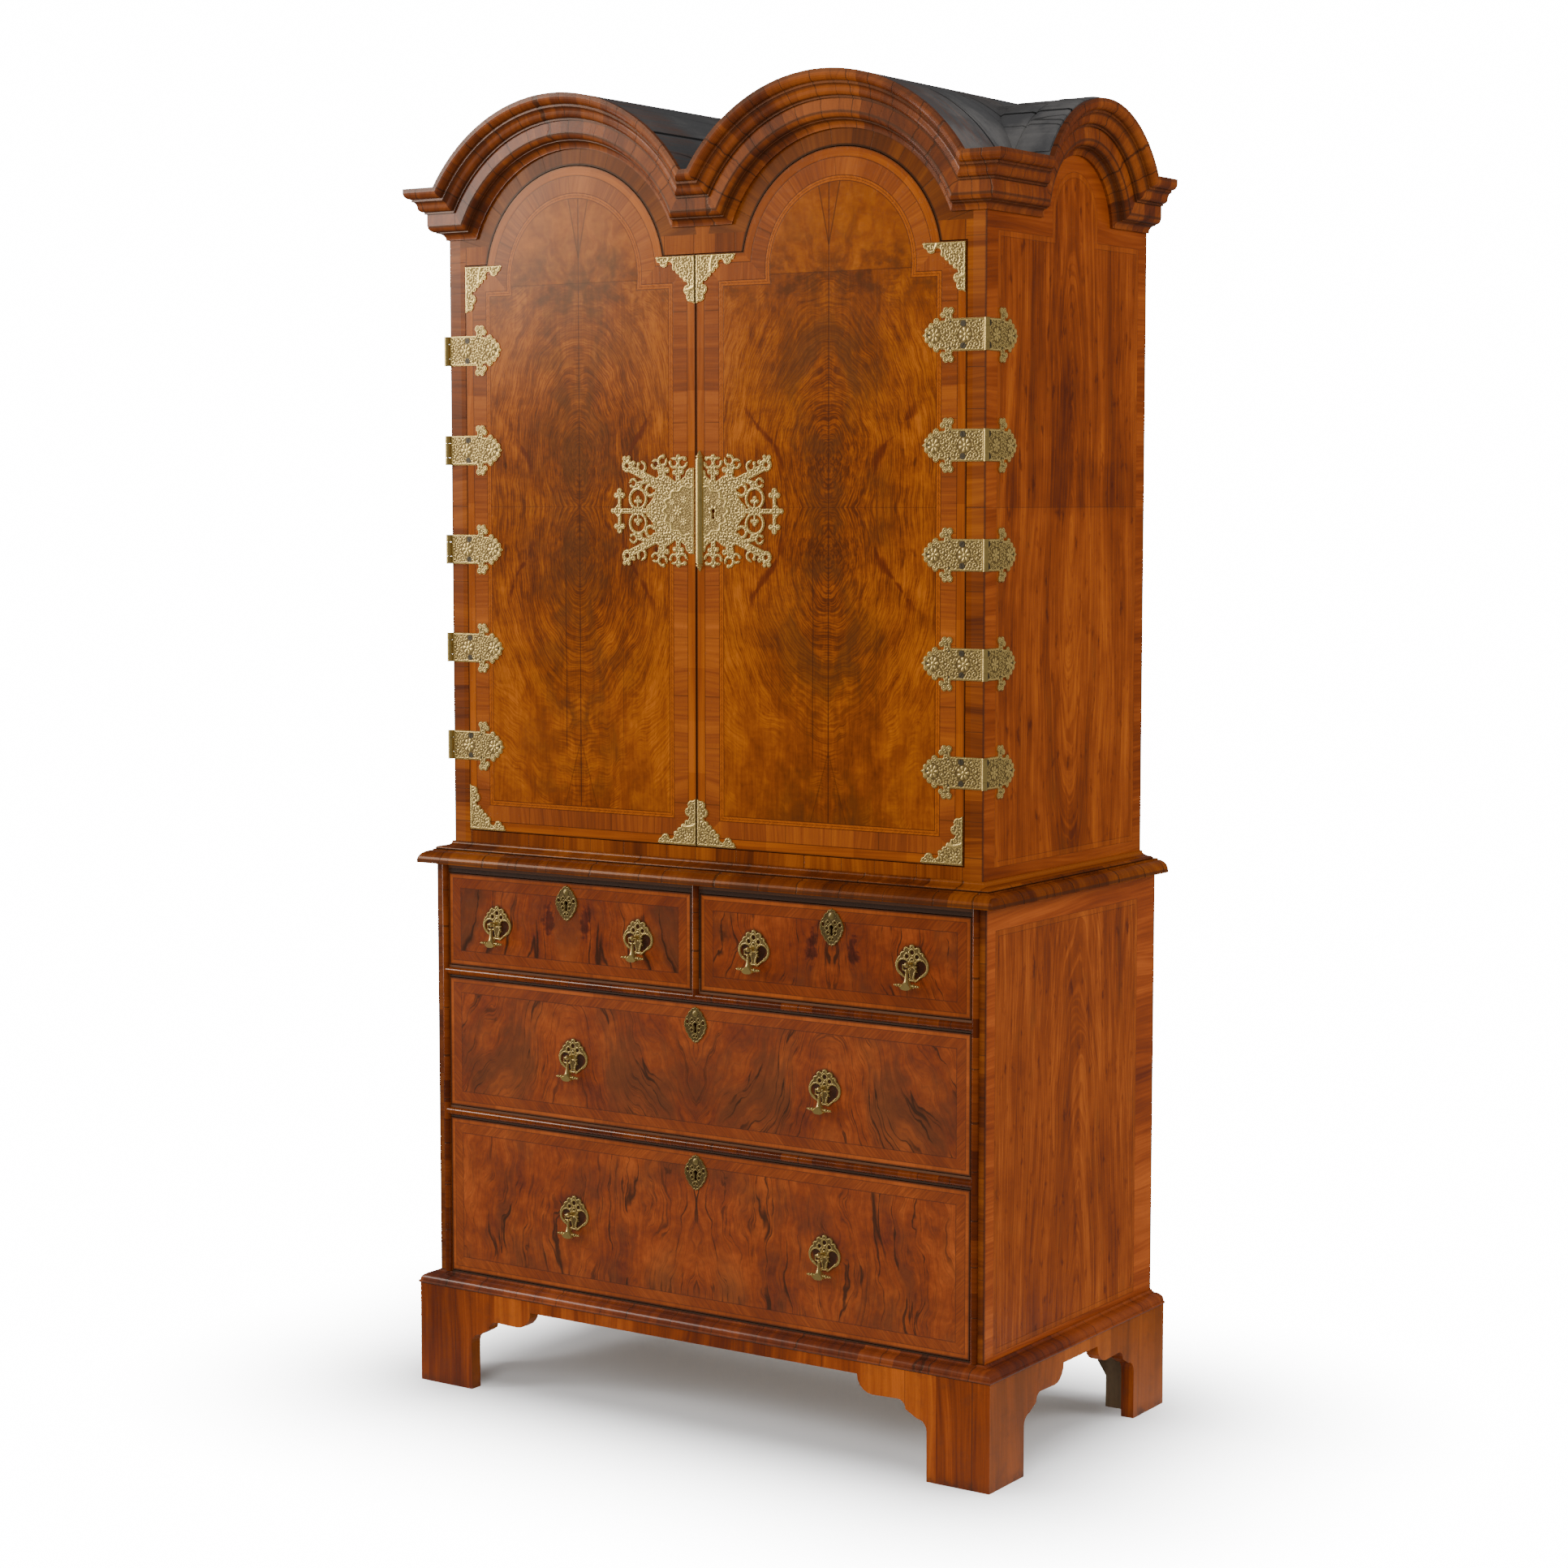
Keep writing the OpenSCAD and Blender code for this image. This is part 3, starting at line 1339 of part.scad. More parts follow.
module middle_front() { drawer_front(MIDDLE); }
module middle_box() { drawer_box(MIDDLE); }
module middle_fittings() { drawer_fittings(MIDDLE); }
module middle_bolt() { drawer_bolt(MIDDLE); }
module middle_drop_a() { drop_handle(MIDDLE, -1); }
module middle_drop_b() { drop_handle(MIDDLE, 1); }
module lower_front() { drawer_front(LOWER); }
module lower_box() { drawer_box(LOWER); }
module lower_fittings() { drawer_fittings(LOWER); }
module lower_bolt() { drawer_bolt(LOWER); }
module lower_drop_a() { drop_handle(LOWER, -1); }
module lower_drop_b() { drop_handle(LOWER, 1); }

bracket_plinth();
plinth_blocks();
base_moulding();
chest_side_left();
chest_side_right();
chest_boards();
chest_back();
drawer_rails();
drawer_runners();
carcase_beads();
waist_moulding();
seat_moulding();
cabinet_side_left();
cabinet_side_right();
cabinet_floor();
cabinet_back();
door_frame();
cornice_front();
cornice_sides();
dome_roof();
shelves();
shelf_rests();
hinge_straps();
door_left();
door_right();
hinge_leaves_left();
hinge_leaves_right();
corner_mounts_left();
corner_mounts_right();
lock_plate_left();
lock_plate_right();
door_lock();
door_lock_bolt();
door_bolt_guides();
door_bolt_upper();
door_bolt_lower();
upper_left_front();
upper_left_box();
upper_left_fittings();
upper_left_bolt();
upper_left_drop_a();
upper_left_drop_b();
upper_right_front();
upper_right_box();
upper_right_fittings();
upper_right_bolt();
upper_right_drop_a();
upper_right_drop_b();
middle_front();
middle_box();
middle_fittings();
middle_bolt();
middle_drop_a();
middle_drop_b();
lower_front();
lower_box();
lower_fittings();
lower_bolt();
lower_drop_a();
lower_drop_b();
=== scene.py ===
import math

import bmesh
import bpy
import numpy as np
from bpy.props import FloatProperty, FloatVectorProperty, PointerProperty
from mathutils import Matrix, Vector, noise
from mathutils.bvhtree import BVHTree


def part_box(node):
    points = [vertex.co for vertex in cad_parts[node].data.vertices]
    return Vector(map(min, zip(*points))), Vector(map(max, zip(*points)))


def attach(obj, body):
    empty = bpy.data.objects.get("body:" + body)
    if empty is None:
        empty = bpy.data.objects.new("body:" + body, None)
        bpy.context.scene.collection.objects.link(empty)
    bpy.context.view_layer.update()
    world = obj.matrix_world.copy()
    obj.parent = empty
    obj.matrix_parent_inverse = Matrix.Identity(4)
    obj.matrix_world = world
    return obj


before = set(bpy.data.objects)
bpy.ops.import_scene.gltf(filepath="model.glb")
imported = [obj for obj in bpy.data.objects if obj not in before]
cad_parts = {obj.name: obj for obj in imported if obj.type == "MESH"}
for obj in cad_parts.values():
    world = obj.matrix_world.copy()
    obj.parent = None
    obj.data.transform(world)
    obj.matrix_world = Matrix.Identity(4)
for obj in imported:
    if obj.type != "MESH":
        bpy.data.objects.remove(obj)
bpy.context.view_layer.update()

bl_info = {
    "name": "Cabinet on Chest",
    "version": (1, 0, 0),
    "blender": (4, 5, 0),
    "location": "View3D > Sidebar > Cabinet",
    "description": "Dresses a walnut cabinet on chest: veneers, mouldings, engraved brass and the stage",
    "category": "Object",
}

DRAWERS = ("upper_left", "upper_right", "middle", "lower")

# Places taken from the frame; every length here is in metres
DOOR_R_LOW, DOOR_R_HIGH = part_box("door_right")
DOOR_L_LOW, DOOR_L_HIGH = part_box("door_left")
CHEST_LOW, CHEST_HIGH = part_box("chest_side_right")

# Domes of the cornice and arches of the doors: middles, radii and levels, as in the part's source
DOME_X = 0.249
DOME_Z = 1.7995
DOME_R = 0.2065
SIDE_DOME_Y = 0.0395
SIDE_DOME_Z = 1.8655
SIDE_DOME_R = 0.1092
CORNICE_Z = 1.8745
DOOR_ARCH_Z = 1.8036
DOOR_ARCH_R = 0.1755
SHOULDER_Z = 1.8321
MEETING_X = -0.013
BEAD_Z = (0.455, 0.688, 0.858)

# Joints in the veneer: the level one in the figure, and the one under the arches of the doors
SEAM_Z = 1.447
ARCH_SEAM_Z = SHOULDER_Z - 0.0355

# Arched panel on the cabinet sides: level and radius of its arch, and width of its fine band
PANEL_ARCH_Z = 1.879
PANEL_ARCH_R = 0.0705
PANEL_BAND = 0.0085

# Fronts of the brass plates, and places of hinges, lock plate, mounts, handle and keyhole plates
DOOR_PLATE_Y = -0.2324
SIDE_PLATE_X = 0.5016
HINGE_X = 0.5042
HINGE_Y = -0.2350
HINGE_Z = [1.0591 + 0.1595 * index for index in range(5)]
DOOR_LEAF = 0.110
SIDE_LEAF = 0.095
LOCK_Z = 1.4411
MOUNT_REACH = 0.080
PULL_PLATE_OUT = 0.0016
PULL_SINK = 0.001
KEYHOLE_DROP = 0.033

# Browns of painted shade along edges and of dark joints, of joints, and of cracks and painted shadow in deep
# gaps; a grey of painted sheen, and a nearly white sheen
SHADE_AND_JOINT_DARK = (0.04, 0.012, 0.005)
JOINT_BROWN = (0.04, 0.012, 0.004)
CRACK_AND_SHADOW_BROWN = (0.020, 0.007, 0.003)
PAINTED_SHEEN_GREY = (0.30, 0.24, 0.20)
CLEAR_SHEEN = (1.0, 0.92, 0.85, 1.0)

# Camera of the photo
CAMERA_PLACE = (2.7686, -4.1506, 1.4613)
CAMERA_TURN = 33.747
CAMERA_DIP = 5.265
CAMERA_LENS = 71.3

# How the veneer of each drawer differs
DRAWER_LOOKS = {
    "upper_left": {"light": 0.92, "slant": 0.10, "knots": 0.037, "red": 0.9},
    "upper_right": {"light": 0.90, "slant": 0.10, "knots": 0.037, "red": 0.9},
    "middle": {"light": 1.02, "slant": 0.42, "red": 0.8, "painted_sheen": 0.025, "quartered": True},
    "lower": {"light": 1.08, "slant": 0.06, "red": 0.75, "painted_sheen": 0.025},
}


# Sizes and colours that a user may change

def colour(name, description, value):
    return FloatVectorProperty(name=name, description=description, subtype="COLOR",
                               size=3, min=0.0, max=1.0, default=value)


def length(name, description, value):
    return FloatProperty(name=name, description=description, default=value,
                         min=0.0, max=0.2, unit="LENGTH", precision=4)


class CabinetSizes(bpy.types.PropertyGroup):
    outer_band: length("Outer band", "Width of the straight grained strip along the door edges", 0.015)
    cross_band: length("Cross band", "Inner edge of the cross grained band on the doors", 0.042)
    feather_band: length("Feather band", "Inner edge of the fine lines on the doors", 0.050)
    drawer_strip: length("Drawer strip", "Width of the outer strip on the drawer fronts", 0.008)
    drawer_band: length("Drawer band", "Inner edge of the feather band on the drawer fronts", 0.024)
    emboss_height: length("Emboss height", "Height of the chased relief on the brass", 0.0008)
    emboss_step: length("Emboss step", "Spacing of the points of the relief", 0.0009)


class CabinetColours(bpy.types.PropertyGroup):
    walnut_light: colour("Walnut light", "Lightest tone of the walnut", (0.37, 0.092, 0.0050))
    walnut_mid: colour("Walnut", "Middle tone of the walnut", (0.190, 0.039, 0.0022))
    walnut_dark: colour("Walnut dark", "Darkest streaks of the walnut", (0.050, 0.0095, 0.0014))
    banding: colour("Banding", "Orange bands round the panels", (0.34, 0.075, 0.0045))
    umber: colour("Umber", "Brown clouds in the figure", (0.072, 0.0205, 0.0040))
    oak: colour("Oak", "Plain wood of the carcase and drawers", (0.36, 0.235, 0.125))
    roof: colour("Roof boards", "Blackened boards on the domes", (0.062, 0.061, 0.062))
    brass: colour("Brass", "Polished brass", (0.60, 0.42, 0.135))
    brass_aged: colour("Aged brass", "Brass in the recesses", (0.17, 0.10, 0.030))
    iron: colour("Iron", "Iron of locks and bolts", (0.10, 0.095, 0.09))


def sizes():
    return bpy.context.scene.cabinet_sizes


def colours():
    return bpy.context.scene.cabinet_colours


# Finishes: each one is reckoned step by step from the place on the piece

class Wire:
    """A value on its way through a finish, reckoned with like a number."""

    def __init__(self, finish, socket):
        self.finish, self.socket = finish, socket

    def __add__(self, other):
        return self.finish.reckon("ADD", self, other)

    __radd__ = __add__

    def __sub__(self, other):
        return self.finish.reckon("SUBTRACT", self, other)

    def __rsub__(self, other):
        return self.finish.reckon("SUBTRACT", other, self)

    def __mul__(self, other):
        return self.finish.reckon("MULTIPLY", self, other)

    __rmul__ = __mul__

    def __truediv__(self, other):
        return self.finish.reckon("DIVIDE", self, other)


class Finish:
    """A material with one Principled shader whose colour, gloss and relief are reckoned."""

    def __init__(self, name, metallic=0.0, coat=0.0, sheen=(1.0, 0.70, 0.42, 1.0)):
        self.material = bpy.data.materials.new(name)
        self.material.use_nodes = True
        self.tree = self.material.node_tree
        self.tree.nodes.clear()
        out = self.tree.nodes.new("ShaderNodeOutputMaterial")
        self.shader = self.tree.nodes.new("ShaderNodeBsdfPrincipled")
        self.tree.links.new(self.shader.outputs[0], out.inputs[0])
        self.shader.inputs["Metallic"].default_value = metallic
        self.shader.inputs["Coat Weight"].default_value = coat
        self.shader.inputs["Coat Roughness"].default_value = 0.16
        self.shader.inputs["Specular IOR Level"].default_value = 0.5 if metallic else 0.24
        if coat:
            self.shader.inputs["Specular Tint"].default_value = sheen
            self.shader.inputs["Coat Tint"].default_value = (1.0, 0.86, 0.70, 1.0)
        place = self.tree.nodes.new("ShaderNodeTexCoord")
        split = self.tree.nodes.new("ShaderNodeSeparateXYZ")
        self.tree.links.new(place.outputs["Object"], split.inputs[0])
        self.x, self.y, self.z = (Wire(self, s) for s in split.outputs)
        self.geometry = self.tree.nodes.new("ShaderNodeNewGeometry")

    def plug(self, value, socket):
        """Links a wire to the socket, or sets the socket to a number or colour."""
        if isinstance(value, Wire):
            self.tree.links.new(value.socket, socket)
        elif hasattr(value, "__len__"):
            value = tuple(value)
            socket.default_value = value + (1.0,) * (len(socket.default_value) - len(value))
        else:
            socket.default_value = value

    def reckon(self, operation, a, b=0.0):
        node = self.tree.nodes.new("ShaderNodeMath")
        node.operation = operation
        self.plug(a, node.inputs[0])
        self.plug(b, node.inputs[1])
        return Wire(self, node.outputs[0])

    def least(self, first, *others):
        for other in others:
            first = self.reckon("MINIMUM", first, other)
        return first

    def most(self, first, *others):
        for other in others:
            first = self.reckon("MAXIMUM", first, other)
        return first

    def size(self, a):
        return self.reckon("ABSOLUTE", a)

    def whole(self, a):
        return self.reckon("FLOOR", a)

    def part(self, a):
        return self.reckon("FRACT", a)

    def root(self, a):
        return self.reckon("SQRT", a)

    def over(self, a, limit):
        return self.reckon("GREATER_THAN", a, limit)

    def angle(self, a, b):
        return self.reckon("ARCTAN2", a, b)

    def ease(self, value, low, high, start=0.0, end=1.0):
        """Smooth change from start at low to end at high."""
        node = self.tree.nodes.new("ShaderNodeMapRange")
        node.interpolation_type = "SMOOTHSTEP"
        for wire, index in ((value, 0), (low, 1), (high, 2), (start, 3), (end, 4)):
            self.plug(wire, node.inputs[index])
        return Wire(self, node.outputs[0])

    def pick(self, share, a, b):
        """a where share is 0, b where it is 1."""
        node = self.tree.nodes.new("ShaderNodeMix")
        node.data_type = "FLOAT"
        self.plug(share, node.inputs[0])
        self.plug(a, node.inputs[2])
        self.plug(b, node.inputs[3])
        return Wire(self, node.outputs[0])

    def blend(self, share, a, b):
        """Colour a where share is 0, colour b where it is 1."""
        node = self.tree.nodes.new("ShaderNodeMix")
        node.data_type = "RGBA"
        self.plug(share, node.inputs[0])
        self.plug(a, node.inputs[6])
        self.plug(b, node.inputs[7])
        return Wire(self, node.outputs[2])

    def point(self, x, y, z=0.0):
        node = self.tree.nodes.new("ShaderNodeCombineXYZ")
        for wire, socket in zip((x, y, z), node.inputs):
            self.plug(wire, socket)
        return Wire(self, node.outputs[0])

    def cloud(self, where, detail=2.0, roughness=0.5):
        """Soft noise of about 0.5, one wave for each unit of where."""
        node = self.tree.nodes.new("ShaderNodeTexNoise")
        self.plug(where, node.inputs["Vector"])
        node.inputs["Scale"].default_value = 1.0
        node.inputs["Detail"].default_value = detail
        node.inputs["Roughness"].default_value = roughness
        return Wire(self, node.outputs[0])

    def chance(self, value):
        """A number from 0 to 1 drawn for each value."""
        node = self.tree.nodes.new("ShaderNodeTexWhiteNoise")
        node.noise_dimensions = "1D"
        self.plug(value, node.inputs["W"])
        return Wire(self, node.outputs["Value"])

    def cells(self, where):
        """Distance to the nearest of many scattered points."""
        node = self.tree.nodes.new("ShaderNodeTexVoronoi")
        self.plug(where, node.inputs["Vector"])
        node.inputs["Scale"].default_value = 1.0
        return Wire(self, node.outputs[0])

    def tones(self, share, stops):
        """Colour along the stops, each a place and a colour."""
        node = self.tree.nodes.new("ShaderNodeValToRGB")
        self.plug(share, node.inputs[0])
        ramp = node.color_ramp
        while len(ramp.elements) < len(stops):
            ramp.elements.new(0.5)
        for element, (at, tone) in zip(ramp.elements, stops):
            element.position = at
            element.color = tuple(tone) + (1.0,)
        return Wire(self, node.outputs[0])

    def line(self, value, at, width):
        """1 within half the width of at, falling off softly."""
        return self.ease(self.size(value - at), width * 0.5, width, 1.0, 0.0)

    def facing(self):
        """How far the surface faces along X, along Y and along Z."""
        split = self.tree.nodes.new("ShaderNodeSeparateXYZ")
        self.tree.links.new(self.geometry.outputs["True Normal"], split.inputs[0])
        return tuple(self.size(Wire(self, s)) for s in split.outputs)

    def paint(self, tone, gloss, height, depth, strength):
        """Gives the shader its colour, gloss and relief, and returns the material."""
        self.plug(tone, self.shader.inputs["Base Color"])
        self.plug(gloss, self.shader.inputs["Roughness"])
        bump = self.tree.nodes.new("ShaderNodeBump")
        bump.inputs["Strength"].default_value = strength
        bump.inputs["Distance"].default_value = depth
        self.plug(height, bump.inputs["Height"])
        self.tree.links.new(bump.outputs[0], self.shader.inputs["Normal"])
        return self.material


def walnut_tones(light=1.0, red=0.0):
    """Stops of the walnut's tones, darkest first."""
    c = colours()

    def tint(tone, k):
        r, g, b = tone
        return (min(1.0, r * k * light), g * k * light * (1.0 - 0.25 * red),
                b * k * light * (1.0 + 0.6 * red))

    return [(0.0, tint(c.walnut_dark, 0.8)), (0.28, tint(c.walnut_dark, 1.8)),
            (0.50, tint(c.walnut_mid, 1.0)), (0.72, tint(c.walnut_light, 0.86)),
            (1.0, tint(c.walnut_light, 1.15))]


def dimmed(tone, k):
    """A colour times a factor."""
    return tuple(v * k for v in tone)


def plain_grain(f, across, along, seed, strong=1.0):
    """Straight walnut grain: 0 is dark and 1 is light."""
    drift = f.cloud(f.point(across * 5.0, along * 1.4, seed), 2.0) - 0.5
    rings = f.cloud(f.point(across * 42.0 + drift * 7.0, along * 1.1, seed + 3.0), 2.0, 0.6) - 0.5
    streaks = f.cloud(f.point(across * 260.0 + drift * 30.0, along * 7.0, seed + 5.0), 3.0, 0.6) - 0.5
    broad = f.cloud(f.point(across * 6.0, along * 2.2, seed + 9.0), 3.0, 0.55) - 0.5
    return 0.53 + broad * (0.9 * strong) + rings * (0.75 * strong) + streaks * 0.42


def pores(f, across, along, seed):
    """Short dark pores along the grain, 1 in a pore."""
    fleck = f.cloud(f.point(across * 1500.0, along * 70.0, seed + 21.0), 1.0)
    return f.ease(fleck, 0.62, 0.74)


def waxed(f, tone, fleck, seed, low, high, pore, relief):
    """Wax polish over the wood: uneven gloss from low to high, filled pores and a faint wave."""
    patch = f.cloud(f.point(f.x * 6.0 + seed, f.y * 6.0, f.z * 6.0), 3.0, 0.6)
    tone = f.blend(fleck * pore, tone, (0.035, 0.010, 0.003))
    wave = f.cloud(f.point(f.x * 9.0, f.y * 9.0, f.z * 5.0 + seed), 2.0)
    height = wave * 1.6 - fleck * 0.06 + relief
    return f.paint(tone, f.pick(patch, low, high), height, 0.0006, 0.55)


def rectangle_inset(f, a, b, low, high):
    """How far inside a rectangle a point is, towards its upright and its level edges."""
    return f.least(a - low[0], high[0] - a), f.least(b - low[1], high[1] - b)


def door_field(f, low, middle, side):
    """Figure of a door, matched left to right and about the level seam, and its broad blotches.

    side is 1 on the right door and -1 on the left one.
    """
    x, z = f.x, f.z
    u = f.size(x - middle)
    v = f.size(z - SEAM_Z)
    wander = f.cloud(f.point(u * 7.0 + x * 1.3, v * 4.5 + z * 0.8, 3.0 * side), 3.0, 0.6) - 0.5
    waver = f.cloud(f.point(u * 26.0, v * 16.0, 5.0 * side), 2.0, 0.5) - 0.5
    # Rings of the figure, centred a little above the seam and as much below it
    arc_v = v - 0.065
    bent = f.root(u * u * 1.7 + arc_v * arc_v * 0.55 + 0.0003) + wander * 0.050 + waver * 0.010
    turn = f.angle(u, arc_v)
    hair = f.cloud(f.point(bent * 460.0, turn * 3.0, 5.0), 2.0, 0.6)
    rings = f.cloud(f.point(bent * 120.0, turn * 1.2, 9.0), 3.0, 0.6) - 0.5
    bands = f.cloud(f.point(bent * 22.0, turn * 0.6, 7.0 + side), 2.0, 0.6) - 0.5
    near_rings = f.ease(v, 0.36, 0.22)
    # Upright grain with waves across it
    brush = f.cloud(f.point((u + waver * 0.012) * 230.0, v * 11.0, 19.0), 3.0, 0.6) - 0.5
    flame = f.cloud(f.point(u * 17.0 + wander * 4.0, v * 3.4, 11.0), 4.0, 0.6) - 0.5
    blotch = f.cloud(f.point(u * 5.5 + x * 1.4, v * 4.0, 17.0 + side), 4.0, 0.6) - 0.5
    mottle = f.cloud(f.point(u * 34.0 + x * 9.0 + waver * 3.0,
                             v * 27.0 + z * 5.0 + wander * 3.0, 13.0 + side), 4.0, 0.62) - 0.5
    curl = f.cloud(f.point(x * 85.0, z * 120.0, 23.0), 3.0, 0.6) - 0.5
    tone = (0.52 + rings * near_rings * 0.58 + bands * 0.38 + flame * 0.42 + blotch * 0.56
            + mottle * 0.46 + curl * 0.20 + brush * 0.34)
    tone = tone + (f.ease(hair, 0.44, 0.56) - 0.6) * near_rings * 0.20
    # Fine waves over the rest of the field
    ripple = f.cloud(f.point(u * 16.0, (v + wander * 0.12 + u * u * 2.2) * 300.0, 61.0 + side), 2.0, 0.55)
    ripple = (f.ease(ripple, 0.42, 0.56) - 0.55) * (1.0 - near_rings * 0.8)
    tone = tone + ripple * f.ease(flame + blotch, -0.12, 0.10) * 0.16
    # Darker towards the middle, golden at the sides
    tone = tone - f.ease(u, 0.10, 0.01) * (0.08 if side > 0.0 else 0.04) + f.ease(u, 0.09, 0.16) * 0.06
    tone = tone - f.ease(v, 0.22, 0.05) * 0.035 + f.ease(SEAM_Z - z, 0.12, 0.32) * 0.045
    # Dark curved veins that leave the seam on both sides
    path = 0.088 + f.ease(v, 0.055, 0.155) * 0.060 + wander * 0.05 + waver * 0.012
    gap = f.size(u - path)
    frayed = f.cloud(f.point(x * 30.0, z * 26.0, 53.0), 3.0, 0.6)
    fade = f.ease(v, 0.03, 0.08) * f.ease(v, 0.17, 0.12) * f.ease(frayed, 0.38, 0.52)
    vein = f.ease(gap, 0.0030 + f.most(0.0, frayed - 0.44) * 0.05, 0.0005) * fade
    glow = f.ease(u - path, 0.0, 0.016) * f.ease(u - path, 0.05, 0.02) * fade
    tone = tone - vein * 0.22 + glow * 0.10
    # Small knots
    spot = f.cells(f.point(u * 13.0 + waver * 0.8, v * 11.0 + 0.4))
    tone = tone - f.ease(spot, 0.10, 0.02) * 0.22
    # A wedge at the foot of the door and one in the arch, between thin lines
    down = low.z + 0.157 - z
    up = z - SHOULDER_Z - 0.004
    ray_x = f.size(x - middle)
    foot_edge, arch_edge = down * 0.30, up * 0.21
    wedge = f.most(f.over(foot_edge, ray_x), f.over(arch_edge, ray_x))
    rays = f.most(f.line(ray_x, foot_edge, 0.0013) * f.over(down, 0.0),
                  f.line(ray_x, arch_edge, 0.0015) * f.over(up, 0.0) * 1.5)
    # The piece in the arch runs out from its foot
    fan = f.angle(ray_x, f.most(up, down) + 0.10)
    far = f.root(ray_x * ray_x + up * up)
    fan_fine = f.cloud(f.point(fan * 70.0, far * 14.0, 31.0), 3.0, 0.62) - 0.5
    fan_broad = f.cloud(f.point(fan * 9.0 + waver * 4.0, far * 12.0, 37.0), 3.0) - 0.5
    fan_tone = 0.565 + fan_fine * 0.05 + fan_broad * 0.36 + curl * 0.18 + mottle * 0.44
    upper = f.over(z, ARCH_SEAM_Z)
    tone = f.pick(upper, tone, fan_tone) - wedge * 0.05
    clouded = f.ease(f.size(z - (SHOULDER_Z - 0.040)), 0.070, 0.008)
    knot = f.ease(f.cloud(f.point(u * 30.0, z * 34.0, 41.0), 4.0, 0.65), 0.42, 0.68)
    tone = tone - clouded * knot * 0.16
    field = f.tones(tone, walnut_tones())
    # Brown clouds: down the middle, under the arch and beside the seam
    smoke = f.ease(f.cloud(f.point(u * 12.0 + x * 3.0 + waver, v * 7.0, 29.0), 4.0, 0.62), 0.40, 0.66)
    column = f.ease(u, 0.15, 0.03) * (1.0 - upper)
    column = f.most(column, f.ease(up, 0.065, 0.000) * upper * f.ease(ray_x, 0.13, 0.05) * 1.3)
    share = (smoke * (column * 0.62 + 0.14) + clouded * (0.12 + knot * 0.42)
             + f.ease(rings * near_rings, 0.02, 0.2) * 0.22)
    field = f.blend(f.least(0.84, share), field, tuple(colours().umber))
    # Reddish veins, and the thin lines of the wedges
    field = f.blend(vein * 0.6, field, (0.10, 0.013, 0.002))
    return f.blend(rays * 0.45, field, (0.05, 0.012, 0.002)), blotch


def door_bands(f, inset, along, lift, blotch):
    """Bands round a door, from its edge inwards: plain strip, cross grain in short lengths, fine feathers.

    lift makes the strip lighter; the bands come with the share that lies inside the cross grain.
    """
    s = sizes()
    c = colours()
    piece = along * 12.0 + f.cloud(f.point(along * 9.0, 0.0, 3.0), 1.0) * 1.2
    mood = f.chance(f.whole(piece)) - 0.5
    joint = f.line(f.part(piece), 0.5, 0.010)
    tones = walnut_tones(0.98, 0.2)
    cross = plain_grain(f, along, inset, 43.0, 0.62) + mood * 0.15 + 0.015
    # A little grey painted sheen over the cross grain
    cross_tone = f.blend(0.02, f.tones(cross, tones), (0.35, 0.26, 0.20))
    strip = plain_grain(f, inset * 2.0, along, 47.0, 0.8) + mood * 0.16 + blotch * 0.30 + lift
    strip_tone = f.blend(0.16, f.tones(strip, tones), c.banding)
    slant = f.size(inset - (s.cross_band + s.feather_band) / 2) * 1.3
    feather = f.cloud(f.point((along + slant) * 420.0, inset * 60.0, 2.0), 2.0)
    fine_tone = f.blend(f.ease(feather, 0.35, 0.65) * 0.55, dimmed(c.banding, 0.98), dimmed(c.banding, 0.42))
    in_cross = f.over(inset, s.outer_band)
    in_fine = f.over(inset, s.cross_band)
    paint = f.blend(in_cross, strip_tone, cross_tone)
    paint = f.blend(joint * in_cross * 0.5, paint, (0.05, 0.014, 0.004))
    return f.blend(in_fine, paint, fine_tone), in_fine


